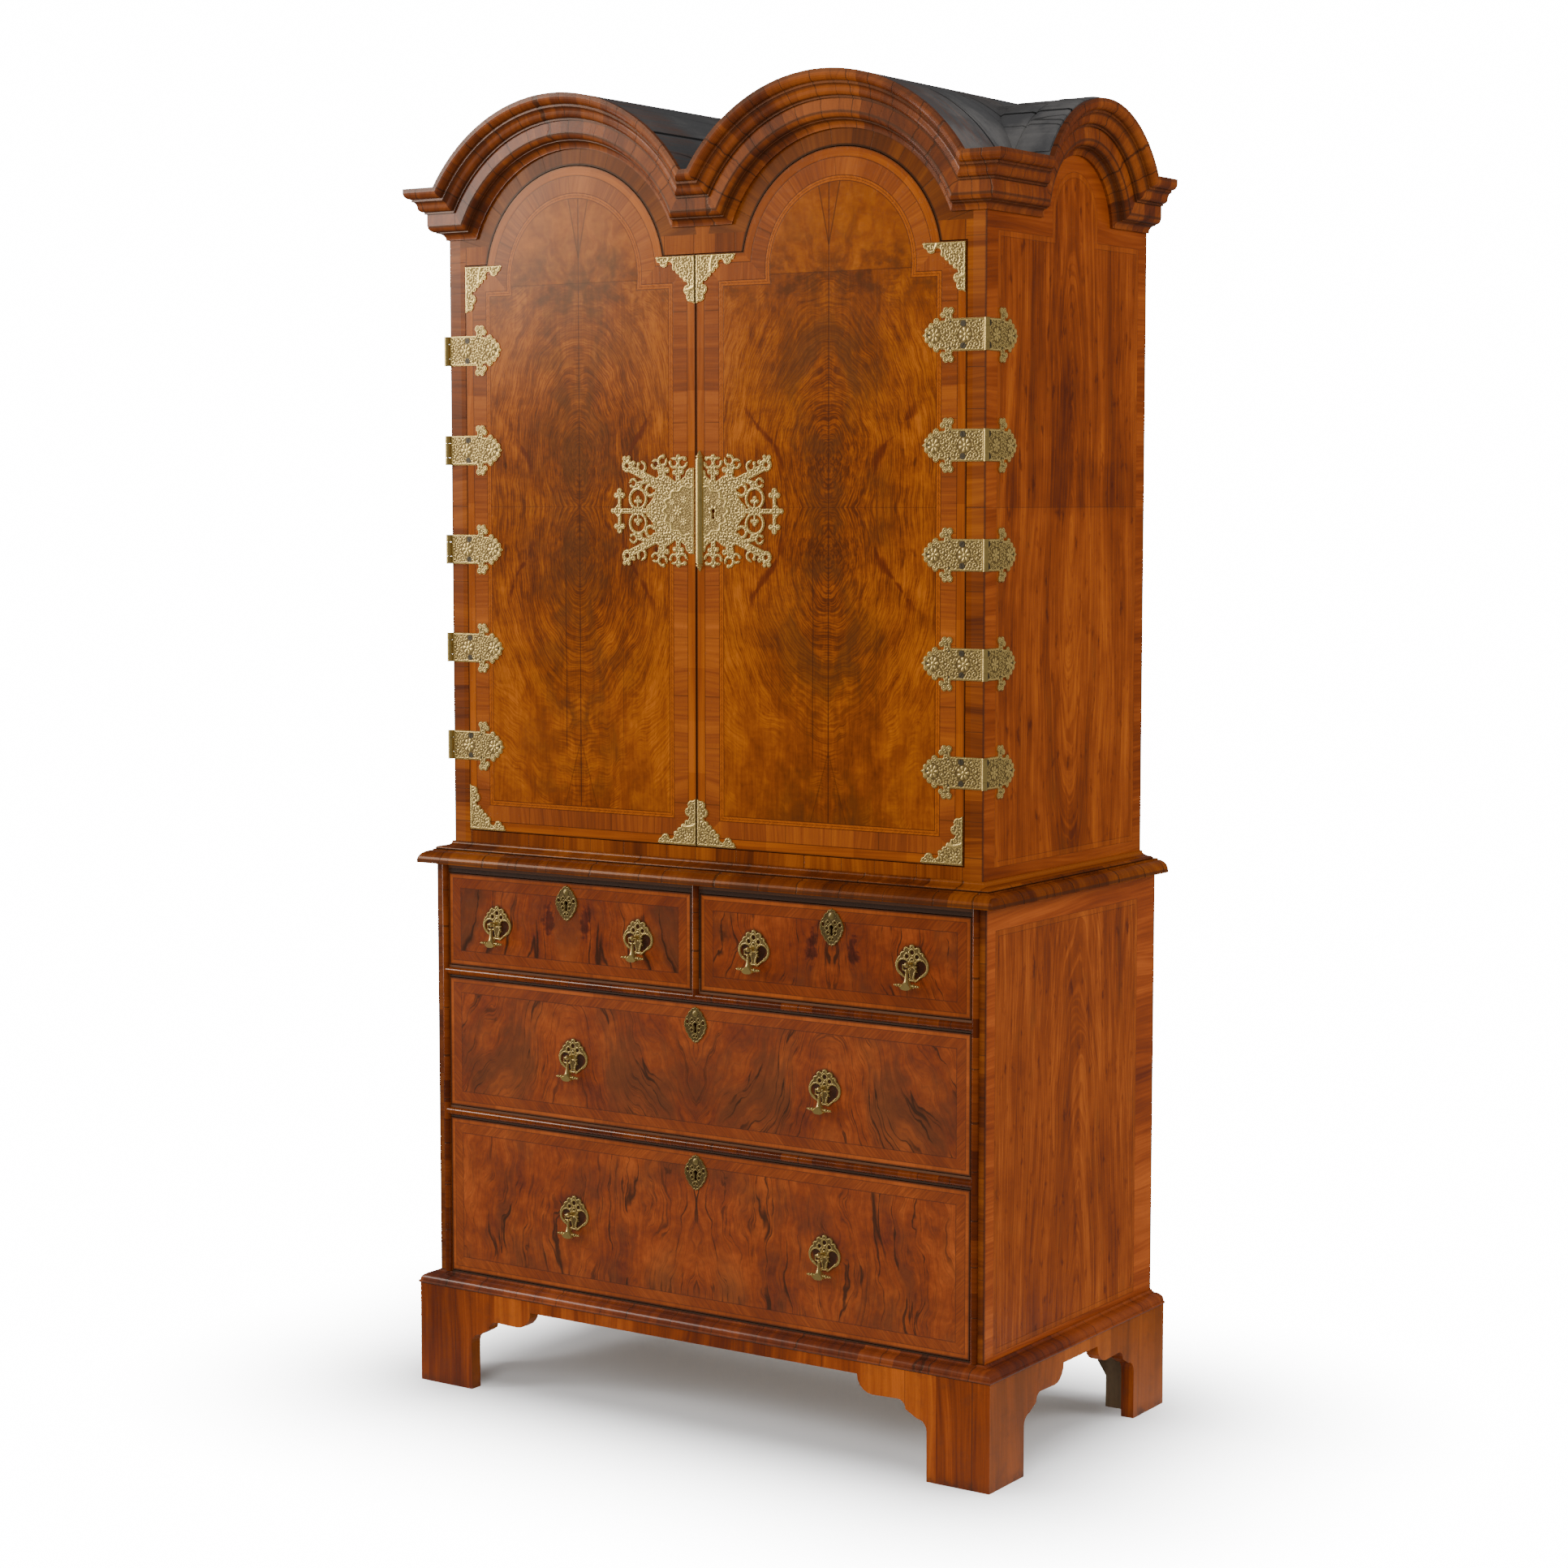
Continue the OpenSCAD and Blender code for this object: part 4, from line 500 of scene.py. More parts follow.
def door_veneer(name, low, high, side):
    """Book matched field, cross band and fine lines that follow the arched outline of a door."""
    s = sizes()
    f = Finish(name, coat=0.05)
    x, z = f.x, f.z
    to_side, to_level = rectangle_inset(f, x, z, (low.x, low.z), (high.x, SHOULDER_Z))
    box = f.least(to_side, to_level)
    dx, dz = x - DOME_X * side, z - DOOR_ARCH_Z
    ring = DOOR_ARCH_R - f.root(dx * dx + dz * dz)
    inset = f.most(box, ring)
    in_arch = f.over(ring, box) * f.over(z, SHOULDER_Z - 0.052)
    middle = (low.x + high.x) / 2 + 0.002
    field, blotch = door_field(f, low, middle, side)

    along = f.pick(in_arch, f.pick(f.over(to_side, to_level), z, x), f.angle(dx, dz) * 0.155)
    paint, in_fine = door_bands(f, inset, along, 0.02 if side > 0.0 else 0.09, blotch)
    in_field = f.over(inset, s.feather_band)
    paint = f.blend(in_field, paint, field)
    lines = f.most(f.line(inset, s.outer_band, 0.0009), f.line(inset, s.cross_band, 0.0009),
                   f.line(inset, s.feather_band, 0.0009),
                   f.line(inset, (s.cross_band + s.feather_band) / 2, 0.0008) * 0.8)
    seams = f.most(f.line(x, middle, 0.0013) * in_field * 0.75, f.line(z, SEAM_Z, 0.0007) * in_field * 0.4,
                   f.line(z, ARCH_SEAM_Z, 0.0010) * in_field * 0.5)
    # Fine upright cracks: a long one right of the middle, and a short one a little left of it
    sway = (f.cloud(f.point(0.0, z * 9.0, side), 1.0) - 0.5) * 0.004
    long_crack = (f.line(x, middle + 0.085 + sway, 0.0007) * f.ease(z, SEAM_Z - 0.38, SEAM_Z - 0.36)
                  * f.ease(z, SHOULDER_Z - 0.02, SHOULDER_Z - 0.05))
    short_crack = (f.line(x, middle - 0.028 + sway, 0.0011) * f.ease(z, SEAM_Z - 0.40, SEAM_Z - 0.37)
                   * f.ease(z, SEAM_Z - 0.06, SEAM_Z - 0.09))
    seams = f.most(seams, f.most(long_crack * 0.5, short_crack * 0.7) * in_field)
    paint = f.blend(f.most(lines * 0.7, seams), paint, (0.035, 0.008, 0.003))
    # Painted shade along the edges
    paint = f.blend(f.ease(inset, 0.0, 0.003, 0.8, 0.0), paint, SHADE_AND_JOINT_DARK)
    fleck = pores(f, x, z, 3.0) * (1.0 - in_fine * 0.4)
    return waxed(f, paint, fleck, side * 2.0, 0.20, 0.31, 0.30, f.most(lines, seams) * -0.10)


def drawer_field(f, low, high, seed, light, red, slant, knots, quartered):
    """Dark figure of a drawer front, matched about the middle or its quarters too, and its blots."""
    x, z = f.x, f.z
    middle = (low.x + high.x) / 2
    half = (high.x - low.x) / 2
    u, v = f.size(x - middle), z - low.z
    w = f.size(u - half * 0.5) if quartered else u
    sway = f.cloud(f.point(w * 6.0, v * 4.0, seed), 3.0, 0.6) - 0.5
    waver = f.cloud(f.point(w * 34.0, v * 18.0, seed + 1.0), 3.0, 0.55) - 0.5
    across = w + v * slant + sway * 0.13 + waver * 0.014
    broad = f.cloud(f.point(across * 9.0, v * 2.2, seed + 2.0), 4.0, 0.6) - 0.5
    fine = f.cloud(f.point(across * 150.0, v * 12.0, seed + 4.0), 4.0, 0.65) - 0.5
    curl = f.cloud(f.point(x * 70.0 + waver * 2.0, z * 64.0, seed + 5.0), 3.0, 0.6) - 0.5
    blot = f.cloud(f.point(u * 11.0, v * 10.0, seed + 6.0), 4.0, 0.6) - 0.5
    # Long dark veins that run with the grain, broad in places, and threads beside them
    swell = f.cloud(f.point(w * 9.0 + x * 2.0, v * 9.0, seed + 10.0), 4.0, 0.6)
    vein = f.size(f.cloud(f.point(across * 15.0, v * 0.9, seed + 8.0), 3.0, 0.55) - 0.5)
    vein = f.ease(vein, f.most(0.003, (swell - 0.46) * 0.13), 0.0005) * f.ease(swell, 0.42, 0.50)
    if quartered:
        vein = vein * f.ease(u, 0.02, 0.09)
    thread = f.size(f.cloud(f.point(across * 40.0, v * 1.6 + x * 0.4, seed + 18.0), 3.0, 0.6) - 0.5)
    thread_place = f.cloud(f.point(w * 14.0 + x * 3.0, v * 9.0, seed + 20.0), 3.0)
    thread = f.ease(thread, 0.012, 0.002) * f.ease(thread_place, 0.44, 0.56)
    tone = 0.510 + broad * 0.58 + fine * 0.40 + curl * 0.34 + blot * 0.74
    if knots:
        ku, kv = u - knots, (v - 0.089) * 0.42
        spot = f.root(ku * ku + kv * kv) + waver * 0.020 + curl * 0.026 + fine * 0.014
        tone = tone - f.ease(spot, 0.013, 0.003) * 0.34
    field = f.tones(tone, walnut_tones(light, red))
    hair = f.cloud(f.point(across * 400.0, v * 9.0 + sway * 3.0, seed + 14.0), 2.0, 0.6)
    field = f.blend((1.0 - f.ease(hair, 0.36, 0.50)) * 0.30, field, (0.060, 0.015, 0.004))
    # Brown clouds, then the veins over them
    shade = f.ease(f.cloud(f.point(across * 8.0, v * 4.0, seed + 12.0), 4.0, 0.62), 0.45, 0.66)
    shade = f.least(0.80, shade * 0.70 + f.ease(v, 0.09, 0.0) * 0.12)
    field = f.blend(shade, field, (0.078, 0.0235, 0.0065))
    return f.blend(f.most(vein * 0.85, thread * 0.55), field, (0.020, 0.007, 0.002)), blot


def drawer_veneer(name, low, high, seed, pull, light, slant, red, knots=0.0, painted_sheen=0.0, quartered=False):
    """Dark figured walnut inside a feather band and a plain strip.

    pull is the way from the middle to the handles, knots that to a pair of small knots, or none.
    """
    s = sizes()
    c = colours()
    f = Finish(name, coat=0.10, sheen=CLEAR_SHEEN)
    x, z = f.x, f.z
    to_side, to_level = rectangle_inset(f, x, z, (low.x, low.z), (high.x, high.z))
    inset = f.least(to_side, to_level)
    field, blot = drawer_field(f, low, high, seed, light, red, slant, knots, quartered)

    along = f.pick(f.over(to_side, to_level), z, x)
    mood = f.chance(f.whole(along * 5.0 + seed)) - 0.5
    lean = along + inset
    feather = f.cloud(f.point(lean * 330.0, inset * 50.0, seed), 3.0) - 0.5
    band_tone = plain_grain(f, lean, inset, seed, 0.5) + blot * 0.40 + 0.025
    band = f.blend(f.ease(feather, -0.15, 0.2) * 0.42,
                   f.tones(band_tone, walnut_tones(0.86 * light, red)), (0.085, 0.018, 0.0035))
    strip_tone = plain_grain(f, along, inset, seed + 5.0, 0.8) + mood * 0.30 + blot * 0.30 + 0.11
    strip = f.blend(0.34, f.tones(strip_tone, walnut_tones(0.98 * light, 0.8)), dimmed(c.banding, 0.74))
    paint = f.blend(f.over(inset, s.drawer_strip), strip, band)
    paint = f.blend(f.over(inset, s.drawer_band), paint, field)
    lines = f.most(f.line(inset, s.drawer_strip, 0.0008), f.line(inset, s.drawer_band, 0.0009))
    paint = f.blend(lines * 0.6, paint, (0.045, 0.011, 0.004))
    # Painted shade along the edges, and wear by hands
    paint = f.blend(f.ease(inset, 0.0005, 0.0040, 0.9, 0.0), paint, (0.030, 0.010, 0.004))
    handled = f.ease(f.cloud(f.point(x * 12.0, z * 12.0, seed), 4.0, 0.65), 0.48, 0.72) * 0.22
    paint = f.blend(handled, paint, (0.050, 0.015, 0.005))
    # Painted shade behind the openings of the handle plates and keyhole plate
    u = f.size(x - (low.x + high.x) / 2)
    pu, pv = u - pull, (z - (low.z + high.z) / 2 - PULL_SINK) * 0.92
    key_v = (z - high.z + KEYHOLE_DROP) * 0.80
    shade_behind_plates = f.most(f.ease(f.root(pu * pu + pv * pv), 0.029, 0.020),
                  f.ease(f.root(u * u + key_v * key_v), 0.022, 0.015))
    paint = f.blend(shade_behind_plates * 0.88, paint, (0.012, 0.006, 0.003))
    # A grey painted sheen that stands in for the reflection on the polish
    if painted_sheen:
        paint = f.blend(painted_sheen, paint, (0.25, 0.20, 0.17))
    return waxed(f, paint, pores(f, x, z, seed), seed, 0.26, 0.40, 0.3, lines * -0.10)


def panel_field(f, seed, light, arch):
    """Upright grain in pointed arches, with fine lines along them; darker above the seam of the cabinet."""
    y, z = f.y, f.z
    tone = plain_grain(f, y, z, seed, 0.70)
    drift = f.cloud(f.point(y * 6.0, z * 2.0, seed + 12.0), 3.0, 0.6) - 0.5
    centre, rise = f.size(y - 0.03), f.size(z - SEAM_Z) if arch else z
    peak = f.root(centre * centre + rise * rise * 0.014 + 0.0002) + drift * 0.045
    heart = f.cloud(f.point(peak * 34.0, z * 0.8, seed + 4.0), 3.0, 0.6) - 0.5
    hair = f.ease(f.cloud(f.point(peak * 420.0, z * 3.0, seed + 14.0), 3.0, 0.6), 0.44, 0.62) - 0.5
    speck = f.ease(f.cloud(f.point(y * 60.0, z * 22.0, seed + 31.0), 3.0, 0.6), 0.58, 0.72)
    mottle = f.cloud(f.point(y * 28.0, z * 17.0, seed + 33.0), 4.0, 0.62) - 0.5
    tone = tone + heart * 0.36 + hair * 0.13 + mottle * 0.30 - speck * 0.20
    if arch:
        tone = tone - f.over(z, SEAM_Z) * 0.055 - f.line(z, SEAM_Z + 0.03, 0.05) * 0.06
    field = f.tones(tone, walnut_tones(light, 0.35))
    return f.blend(f.ease(mottle - heart, 0.06, 0.36) * 0.40, field, tuple(colours().umber))


def banded_edge(f, light):
    """Cross banding of the front of the case, where it shows on the front edges of the sides."""
    piece = f.z * 15.0 + f.cloud(f.point(f.z * 8.0, 0.0, 4.0), 1.0) * 1.4
    tone = plain_grain(f, f.z, f.x, 51.0, 0.8) + (f.chance(f.whole(piece) + 3.0) - 0.5) * 0.24
    paint = f.tones(tone, walnut_tones(light, 0.15))
    return f.blend(f.line(f.part(piece), 0.5, 0.012) * 0.65, paint, JOINT_BROWN)


def panel_veneer(name, seed, low, high, margins, top, light, arch):
    """Upright walnut on a case side, with a fine band that follows the panel.

    margins are those of the panel at the front, at the back and below, top is its level above.
    """
    c = colours()
    f = Finish(name, coat=0.05, sheen=(1.0, 0.76, 0.52, 1.0) if arch else CLEAR_SHEEN)
    y, z = f.y, f.z
    front, back, below = margins
    to_front, to_back = y - (low.y + front), (high.y - back) - y
    inset = f.least(f.least(to_front, to_back), f.least(z - (low.z + below), top - z))
    if arch:
        dy, dz = y - SIDE_DOME_Y + 0.003, z - PANEL_ARCH_Z
        reach = PANEL_ARCH_R - f.root(dy * dy + dz * dz)
        post = f.least(PANEL_ARCH_R - f.size(dy), f.least(z - (top - 0.05), PANEL_ARCH_Z - z))
        inset = f.most(inset, reach, post)
    field = panel_field(f, seed, light, arch)
    outside = plain_grain(f, z, y, seed + 7.0, 0.6) + (f.chance(f.whole(z * 9.0)) - 0.5) * 0.10
    outside = f.tones(outside, walnut_tones(light * (0.90 if arch else 1.12), 0.5))
    paint = f.blend(f.over(inset, 0.0), outside, field)
    band = f.over(inset, 0.0) * f.over(PANEL_BAND, inset)
    paint = f.blend(band * 0.26, paint, dimmed(c.banding, 0.95))
    lines = f.most(f.line(inset, 0.0, 0.0006), f.line(inset, PANEL_BAND, 0.0006))
    if arch:
        lines = f.most(lines, f.line(z, SEAM_Z, 0.0006))
    paint = f.blend(lines * 0.5, paint, (0.06, 0.016, 0.005))
    rim = f.least(f.least(y - low.y, high.y - y), z - low.z)
    paint = f.blend(f.ease(rim, 0.0, 0.005, 0.7, 0.0), paint, (0.05, 0.018, 0.008))
    # On the chest sides, a little grey painted sheen
    if not arch:
        paint = f.blend(0.012, paint, PAINTED_SHEEN_GREY)
    # The front edge is dark along the corner
    outer = high.x if high.x > 0.0 else -low.x
    corner = f.ease(f.size(f.x), outer - 0.0035, outer)
    edge = f.blend(corner * 0.85, banded_edge(f, 0.84 if arch else 0.60), (0.035, 0.010, 0.006))
    paint = f.blend(f.over(f.facing()[1], 0.7) * f.over(low.y + 0.002, y), paint, edge)
    return waxed(f, paint, pores(f, y, z, seed), seed, 0.28, 0.42, 0.25, lines * -0.4)


def cross_grain(name, run, members, seed, light, red, pace, gloss=(0.22, 0.38), coat=0.06, painted_sheen=0.0):
    """Cross grained moulding in short lengths with open joints and painted shade between its members.

    run gives the way along it and the height on it; each member is a height, a width and a share of painted
    shade.
    """
    f = Finish(name, coat=coat)
    along, height = run(f)
    slip = f.cloud(f.point(along * 14.0, 0.0, seed), 2.0) * 1.8
    piece = along * pace + slip
    mood = f.chance(f.whole(piece) + seed) - 0.5
    lean = (f.chance(f.whole(piece) + seed + 40.0) - 0.5) * 0.5
    tone = plain_grain(f, (along + height * lean) * 0.55, height * 3.0, seed, 0.7) + mood * 0.34
    wavy = (f.cloud(f.point(along * 9.0, height * 55.0, seed + 2.0), 3.0) - 0.5) * 0.16
    joint = f.line(f.part(piece + wavy), 0.5, 0.024)
    split = f.line(f.part(piece * 2.3 + wavy * 1.5), 0.5, 0.018)
    split = split * f.over(f.chance(f.whole(piece * 2.3) + 9.0), 0.52)
    split = split * f.ease(f.cloud(f.point(along * 20.0, height * 40.0, seed + 6.0), 2.0), 0.40, 0.52)
    cracks = f.most(joint, split * 0.8)
    paint = f.tones(tone, walnut_tones(light, red))
    if members:
        # Painted shade in the quirks between the members
        grime = f.most(*(f.line(height, at, width) * share for at, width, share in members))
        paint = f.blend(grime, paint, (0.040, 0.014, 0.006))
    paint = f.blend(cracks * 0.66, paint, CRACK_AND_SHADOW_BROWN)
    # A grey painted sheen that stands in for the reflection on the polish
    if painted_sheen:
        paint = f.blend(painted_sheen, paint, PAINTED_SHEEN_GREY)
    return waxed(f, paint, pores(f, height, along, seed), seed, *gloss, 0.3, cracks * -0.9)


def round_run(f, du, dz, radius, mitre, height):
    """Gives 1 where a cornice is arched, between the mitres of its dome, and the height on the arch."""
    reach = f.root(du * du + dz * dz)
    outer, inner = radius + height, mitre + height
    half = f.root(f.most(0.0, outer * outer - inner * inner))
    return f.over(half, f.size(du)), reach - radius


def front_arch_run(f):
    """Along the front cornice: level, and round each dome."""
    height = f.z - CORNICE_Z
    ax, az = f.size(f.x) - DOME_X, f.z - DOME_Z
    arched, rise = round_run(f, ax, az, DOME_R, 0.075, height)
    along = f.pick(arched, f.x, f.angle(ax, az) * 0.245 + f.over(f.x, 0.0) * 3.0)
    return along, f.pick(arched, height, rise)


def side_arch_run(f):
    """Along the side cornices: level, and round each dome."""
    height = f.z - CORNICE_Z
    ay, az = f.y - SIDE_DOME_Y, f.z - SIDE_DOME_Z
    arched, rise = round_run(f, ay, az, SIDE_DOME_R, 0.009, height)
    along = f.pick(arched, f.y, f.angle(ay, az) * 0.145 + 2.0) + f.over(f.x, 0.0) * 5.0
    return along, f.pick(arched, height, rise)


def level_run(base):
    """Along a level moulding on the front and the sides."""
    def run(f):
        turned = f.over(f.size(f.x), CHEST_HIGH.x - 0.002) * f.over(f.y, CHEST_LOW.y - 0.002)
        return f.pick(turned, f.x, f.y + 4.0), f.z - base
    return run


def bead_run(f):
    """Along the beads round the drawers."""
    nearest = f.least(*(f.size(f.z - bead) for bead in BEAD_Z))
    return f.pick(f.over(nearest, 0.014), f.x, f.z + 3.0), f.x * 0.0


def frame_veneer(name):
    """Cross banding on the front of the cabinet round the doors, with painted shade in the crown of the
    arches.
    """
    f = Finish(name, coat=0.05)
    f.shader.inputs["Specular IOR Level"].default_value = 0.15
    ax, az = f.size(f.x) - DOME_X, f.z - DOOR_ARCH_Z
    reach = f.root(ax * ax + az * az)
    stile = f.over(f.size(f.x), 0.4665)
    crown = f.over(f.z, SHOULDER_Z + 0.03) * f.over(0.245, reach)
    along = f.pick(stile, f.x, f.z)
    along = f.pick(crown, along, f.angle(ax, az) * 0.2)
    deep = f.pick(stile, f.z, f.x)
    deep = f.pick(crown, deep, reach)
    piece = along * 15.0 + f.cloud(f.point(along * 8.0, 0.0, 4.0), 1.0) * 1.4
    mood = f.chance(f.whole(piece) + 3.0) - 0.5
    tone = plain_grain(f, along, deep, 51.0, 0.8) + mood * 0.24
    paint = f.tones(tone, walnut_tones(0.84, 0.15))
    joint = f.line(f.part(piece), 0.5, 0.012)
    paint = f.blend(joint * 0.65, paint, JOINT_BROWN)
    # Painted shade in the crown of the arches, under the cornice
    paint = f.blend(crown * 0.50, paint, (0.050, 0.015, 0.004))
    # Painted shadow in the gap along the arches of the doors
    shadow = f.ease(reach, DOOR_ARCH_R + 0.0055, DOOR_ARCH_R + 0.0025) * f.over(f.z, SHOULDER_Z - 0.02)
    paint = f.blend(shadow * 0.9, paint, CRACK_AND_SHADOW_BROWN)
    return waxed(f, paint, pores(f, deep, along, 5.0), 5.0, 0.25, 0.4, 0.3, joint * -0.5)


def foot_veneer(name):
    """Upright walnut veneer on the bracket feet, with worn and darkened edges."""
    f = Finish(name, coat=0.08, sheen=CLEAR_SHEEN)
    f.shader.inputs["Specular IOR Level"].default_value = 0.12
    across = f.x + f.y * 0.9
    tone = plain_grain(f, across, f.z, 61.0, 0.9)
    piece = across * 7.0 + f.cloud(f.point(across * 6.0, 0.0, 61.0), 1.0)
    mood = f.chance(f.whole(piece) + 61.0) - 0.5
    paint = f.tones(tone + mood * 0.26, walnut_tones(1.04, 0.45))
    joint = f.line(f.part(piece), 0.5, 0.006)
    paint = f.blend(joint * 0.6, paint, SHADE_AND_JOINT_DARK)
    # Painted light: paler on the flanks that face sideways; dark where it stands, scuffed all over
    paint = f.blend(f.facing()[0] * 0.24, paint, (0.34, 0.11, 0.013))
    worn = f.ease(f.z, 0.0, 0.022, 0.8, 0.0)
    scuff = f.ease(f.cloud(f.point(f.x * 30.0, f.y * 30.0, f.z * 30.0), 4.0, 0.7), 0.48, 0.7)
    paint = f.blend(worn * (scuff * 0.7 + 0.3), paint, (0.035, 0.014, 0.008))
    paint = f.blend(scuff * 0.22, paint, (0.06, 0.020, 0.009))
    return waxed(f, paint, pores(f, across, f.z, 6.0), 6.0, 0.30, 0.50, 0.35, joint * -0.3)


def oak(name, across_axis, along_axis, seed, light, boards=0.0, gap_shade_from=None):
    """Plain dry oak, with joints between boards if their width is given, and painted shade in front of a
    place.
    """
    f = Finish(name)
    axes = {"x": f.x, "y": f.y, "z": f.z}
    along = axes[along_axis]
    other = axes[({"x", "y", "z"} - {across_axis, along_axis}).pop()]
    across = axes[across_axis] + other * 0.8
    tone = plain_grain(f, across, along, seed, 0.8)
    base = dimmed(colours().oak, light)
    pale = tuple(min(1.0, v) for v in dimmed(base, 1.2))
    paint = f.tones(tone, [(0.0, dimmed(base, 0.35)), (0.45, dimmed(base, 0.78)), (0.75, base), (1.0, pale)])
    fleck = pores(f, across, along, seed)
    paint = f.blend(fleck * 0.5, paint, dimmed(base, 0.3))
    height = fleck * -0.4 + tone * 0.35
    if boards:
        board = across / boards
        gap = f.line(f.part(board), 0.5, 0.012)
        paint = f.blend((f.chance(f.whole(board)) - 0.2) * 0.3, paint, dimmed(base, 0.5))
        paint = f.blend(gap * 0.85, paint, (0.02, 0.014, 0.01))
        height = height - gap * 1.5
    if gap_shade_from is not None:
        # Painted shade: black in the gaps of the drawers, brown just above the beads
        above = f.most(*(f.over(f.z, bead) * f.over(bead + 0.03, f.z) for bead in BEAD_Z))
        dark = f.blend(above, (0.030, 0.010, 0.004), (0.100, 0.036, 0.014))
        paint = f.blend(f.ease(f.y, gap_shade_from, gap_shade_from + 0.02, 0.94, 0.0), paint, dark)
    return f.paint(paint, f.pick(tone, 0.72, 0.52), height, 0.0006, 0.6)


def black_boards(name):
    """Blackened boards with dust, wear and splits along the grain."""
    f = Finish(name)
    side = f.over(f.size(f.x), 0.37)
    across, along = f.pick(side, f.x, f.y), f.pick(side, f.y, f.x)
    grain = f.cloud(f.point(across * 170.0, along * 6.0, f.z * 30.0), 4.0, 0.65)
    dust = f.cloud(f.point(f.x * 11.0, f.y * 11.0, f.z * 11.0), 4.0, 0.65)
    worn = f.ease(grain * 0.5 + dust * 0.6, 0.50, 0.72)
    paint = f.blend(worn * 0.55, tuple(colours().roof), (0.115, 0.108, 0.102))
    brown = f.ease(f.cloud(f.point(f.x * 5.0, f.y * 5.0, f.z * 5.0 + 4.0), 3.0), 0.56, 0.7)
    paint = f.blend(brown * 0.35, paint, (0.065, 0.038, 0.026))
    # Rubbed through to the wood near the front, lighter on the flank
    rubbed = f.ease(f.y + (dust - 0.5) * 0.12, -0.155, -0.215) * f.ease(grain, 0.40, 0.62)
    paint = f.blend(rubbed * 0.55, paint, (0.105, 0.046, 0.028))
    flank = f.ease(f.size(f.x), 0.36, 0.43) * f.ease(dust, 0.40, 0.62)
    paint = f.blend(flank * 0.35, paint, (0.150, 0.142, 0.135))
    gap = f.line(f.part(across * 8.5), 0.5, 0.022)
    split = f.line(f.cloud(f.point(across * 18.0, along * 1.5, 3.0), 2.0), 0.5, 0.006)
    paint = f.blend(f.most(gap, split * 0.6), paint, (0.008, 0.008, 0.008))
    height = grain * 0.6 - f.most(gap, split) * 1.4
    return f.paint(paint, f.pick(worn, 0.5, 0.72), height, 0.0012, 0.8)


def chased_brass(name, light=1.0):
    """Brass whose recesses have darkened; the relief is told by the mesh."""
    c = colours()
    f = Finish(name, metallic=0.75)
    told = f.tree.nodes.new("ShaderNodeAttribute")
    told.attribute_name = "relief"
    relief = Wire(f, told.outputs["Fac"])
    patch = f.cloud(f.point(f.x * 40.0, f.y * 40.0, f.z * 40.0), 3.0, 0.6)
    grime = f.cloud(f.point(f.x * 500.0, f.y * 500.0, f.z * 500.0), 2.0)
    hollow = f.ease(relief + (grime - 0.5) * 0.20, 0.58, 0.16) * 0.90
    hollow = f.most(hollow, f.ease(patch, 0.52, 0.78) * 0.22)
    bright = tuple(min(1.0, v * light) for v in c.brass)
    paint = f.blend(hollow, bright, tuple(v * (0.25 + 0.5 * light) for v in c.brass_aged))
    return f.paint(paint, f.pick(hollow, 0.30, 0.48), grime, 0.0002, 0.4)


def cast_brass(name, light=1.0, aged=0.25):
    """Smooth cast brass with a little tarnish."""
    c = colours()
    f = Finish(name, metallic=0.88)
    patch = f.cloud(f.point(f.x * 60.0, f.y * 60.0, f.z * 60.0), 4.0, 0.6)
    tarnish = f.ease(patch, 0.45, 0.75) * aged
    bright = tuple(min(1.0, v * light) for v in c.brass)
    paint = f.blend(tarnish, bright, tuple(c.brass_aged))
    scratch = f.cloud(f.point(f.x * 900.0, f.y * 900.0, f.z * 300.0), 2.0)
    return f.paint(paint, f.pick(patch, 0.22, 0.40), scratch, 0.0001, 0.4)


def screw_brass(name):
    """Screw heads gone dark brown."""
    f = Finish(name, metallic=0.45)
    patch = f.cloud(f.point(f.x * 700.0, f.y * 700.0, f.z * 700.0), 2.0)
    paint = f.blend(patch, (0.042, 0.030, 0.015), (0.085, 0.062, 0.030))
    return f.paint(paint, f.pick(patch, 0.34, 0.52), patch, 0.0002, 0.4)


def dark_iron(name):
    """Dark iron with a trace of rust."""
    c = colours()
    f = Finish(name, metallic=0.9)
    patch = f.cloud(f.point(f.x * 90.0, f.y * 90.0, f.z * 90.0), 4.0, 0.65)
    paint = f.blend(f.ease(patch, 0.55, 0.75) * 0.5, tuple(c.iron), (0.075, 0.035, 0.02))
    return f.paint(paint, f.pick(patch, 0.4, 0.65), patch, 0.0004, 0.5)


def dress(node, material):
    """Gives a carried over piece its finish."""
    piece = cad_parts[node]
    piece.data.materials.clear()
    piece.data.materials.append(material)
    return piece


def mesh_piece(name, bm, material, body, smooth=35.0):
    """Makes a finished piece of a bmesh and lets it ride on its body."""
    bmesh.ops.recalc_face_normals(bm, faces=bm.faces[:])
    mesh = bpy.data.meshes.new(name)
    bm.to_mesh(mesh)
    bm.free()
    piece = bpy.data.objects.new(name, mesh)
    bpy.context.scene.collection.objects.link(piece)
    mesh.materials.append(material)
    mesh.shade_smooth()
    if smooth < 180.0:
        mesh.set_sharp_from_angle(angle=math.radians(smooth))
    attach(piece, body)
    return piece


# Chased relief on the brass plates

# How far its ground stands before the plate, and its edge behind the front of the plate, in millimetres
SKIN = 0.20
SKIN_SINK = 0.12

# How deep its back lies, how far from the plate rays start, and how far off level they still meet it
BACK_SINK = 0.0009
PROBE = 0.02
PLATE_FLATNESS = 0.0003


def soft_step(value, low, high):
    t = np.clip((value - low) / (high - low), 0.0, 1.0)
    return t * t * (3.0 - 2.0 * t)


# Motifs: each gives the height at places in millimetres on the plate, edge being the way to its edge

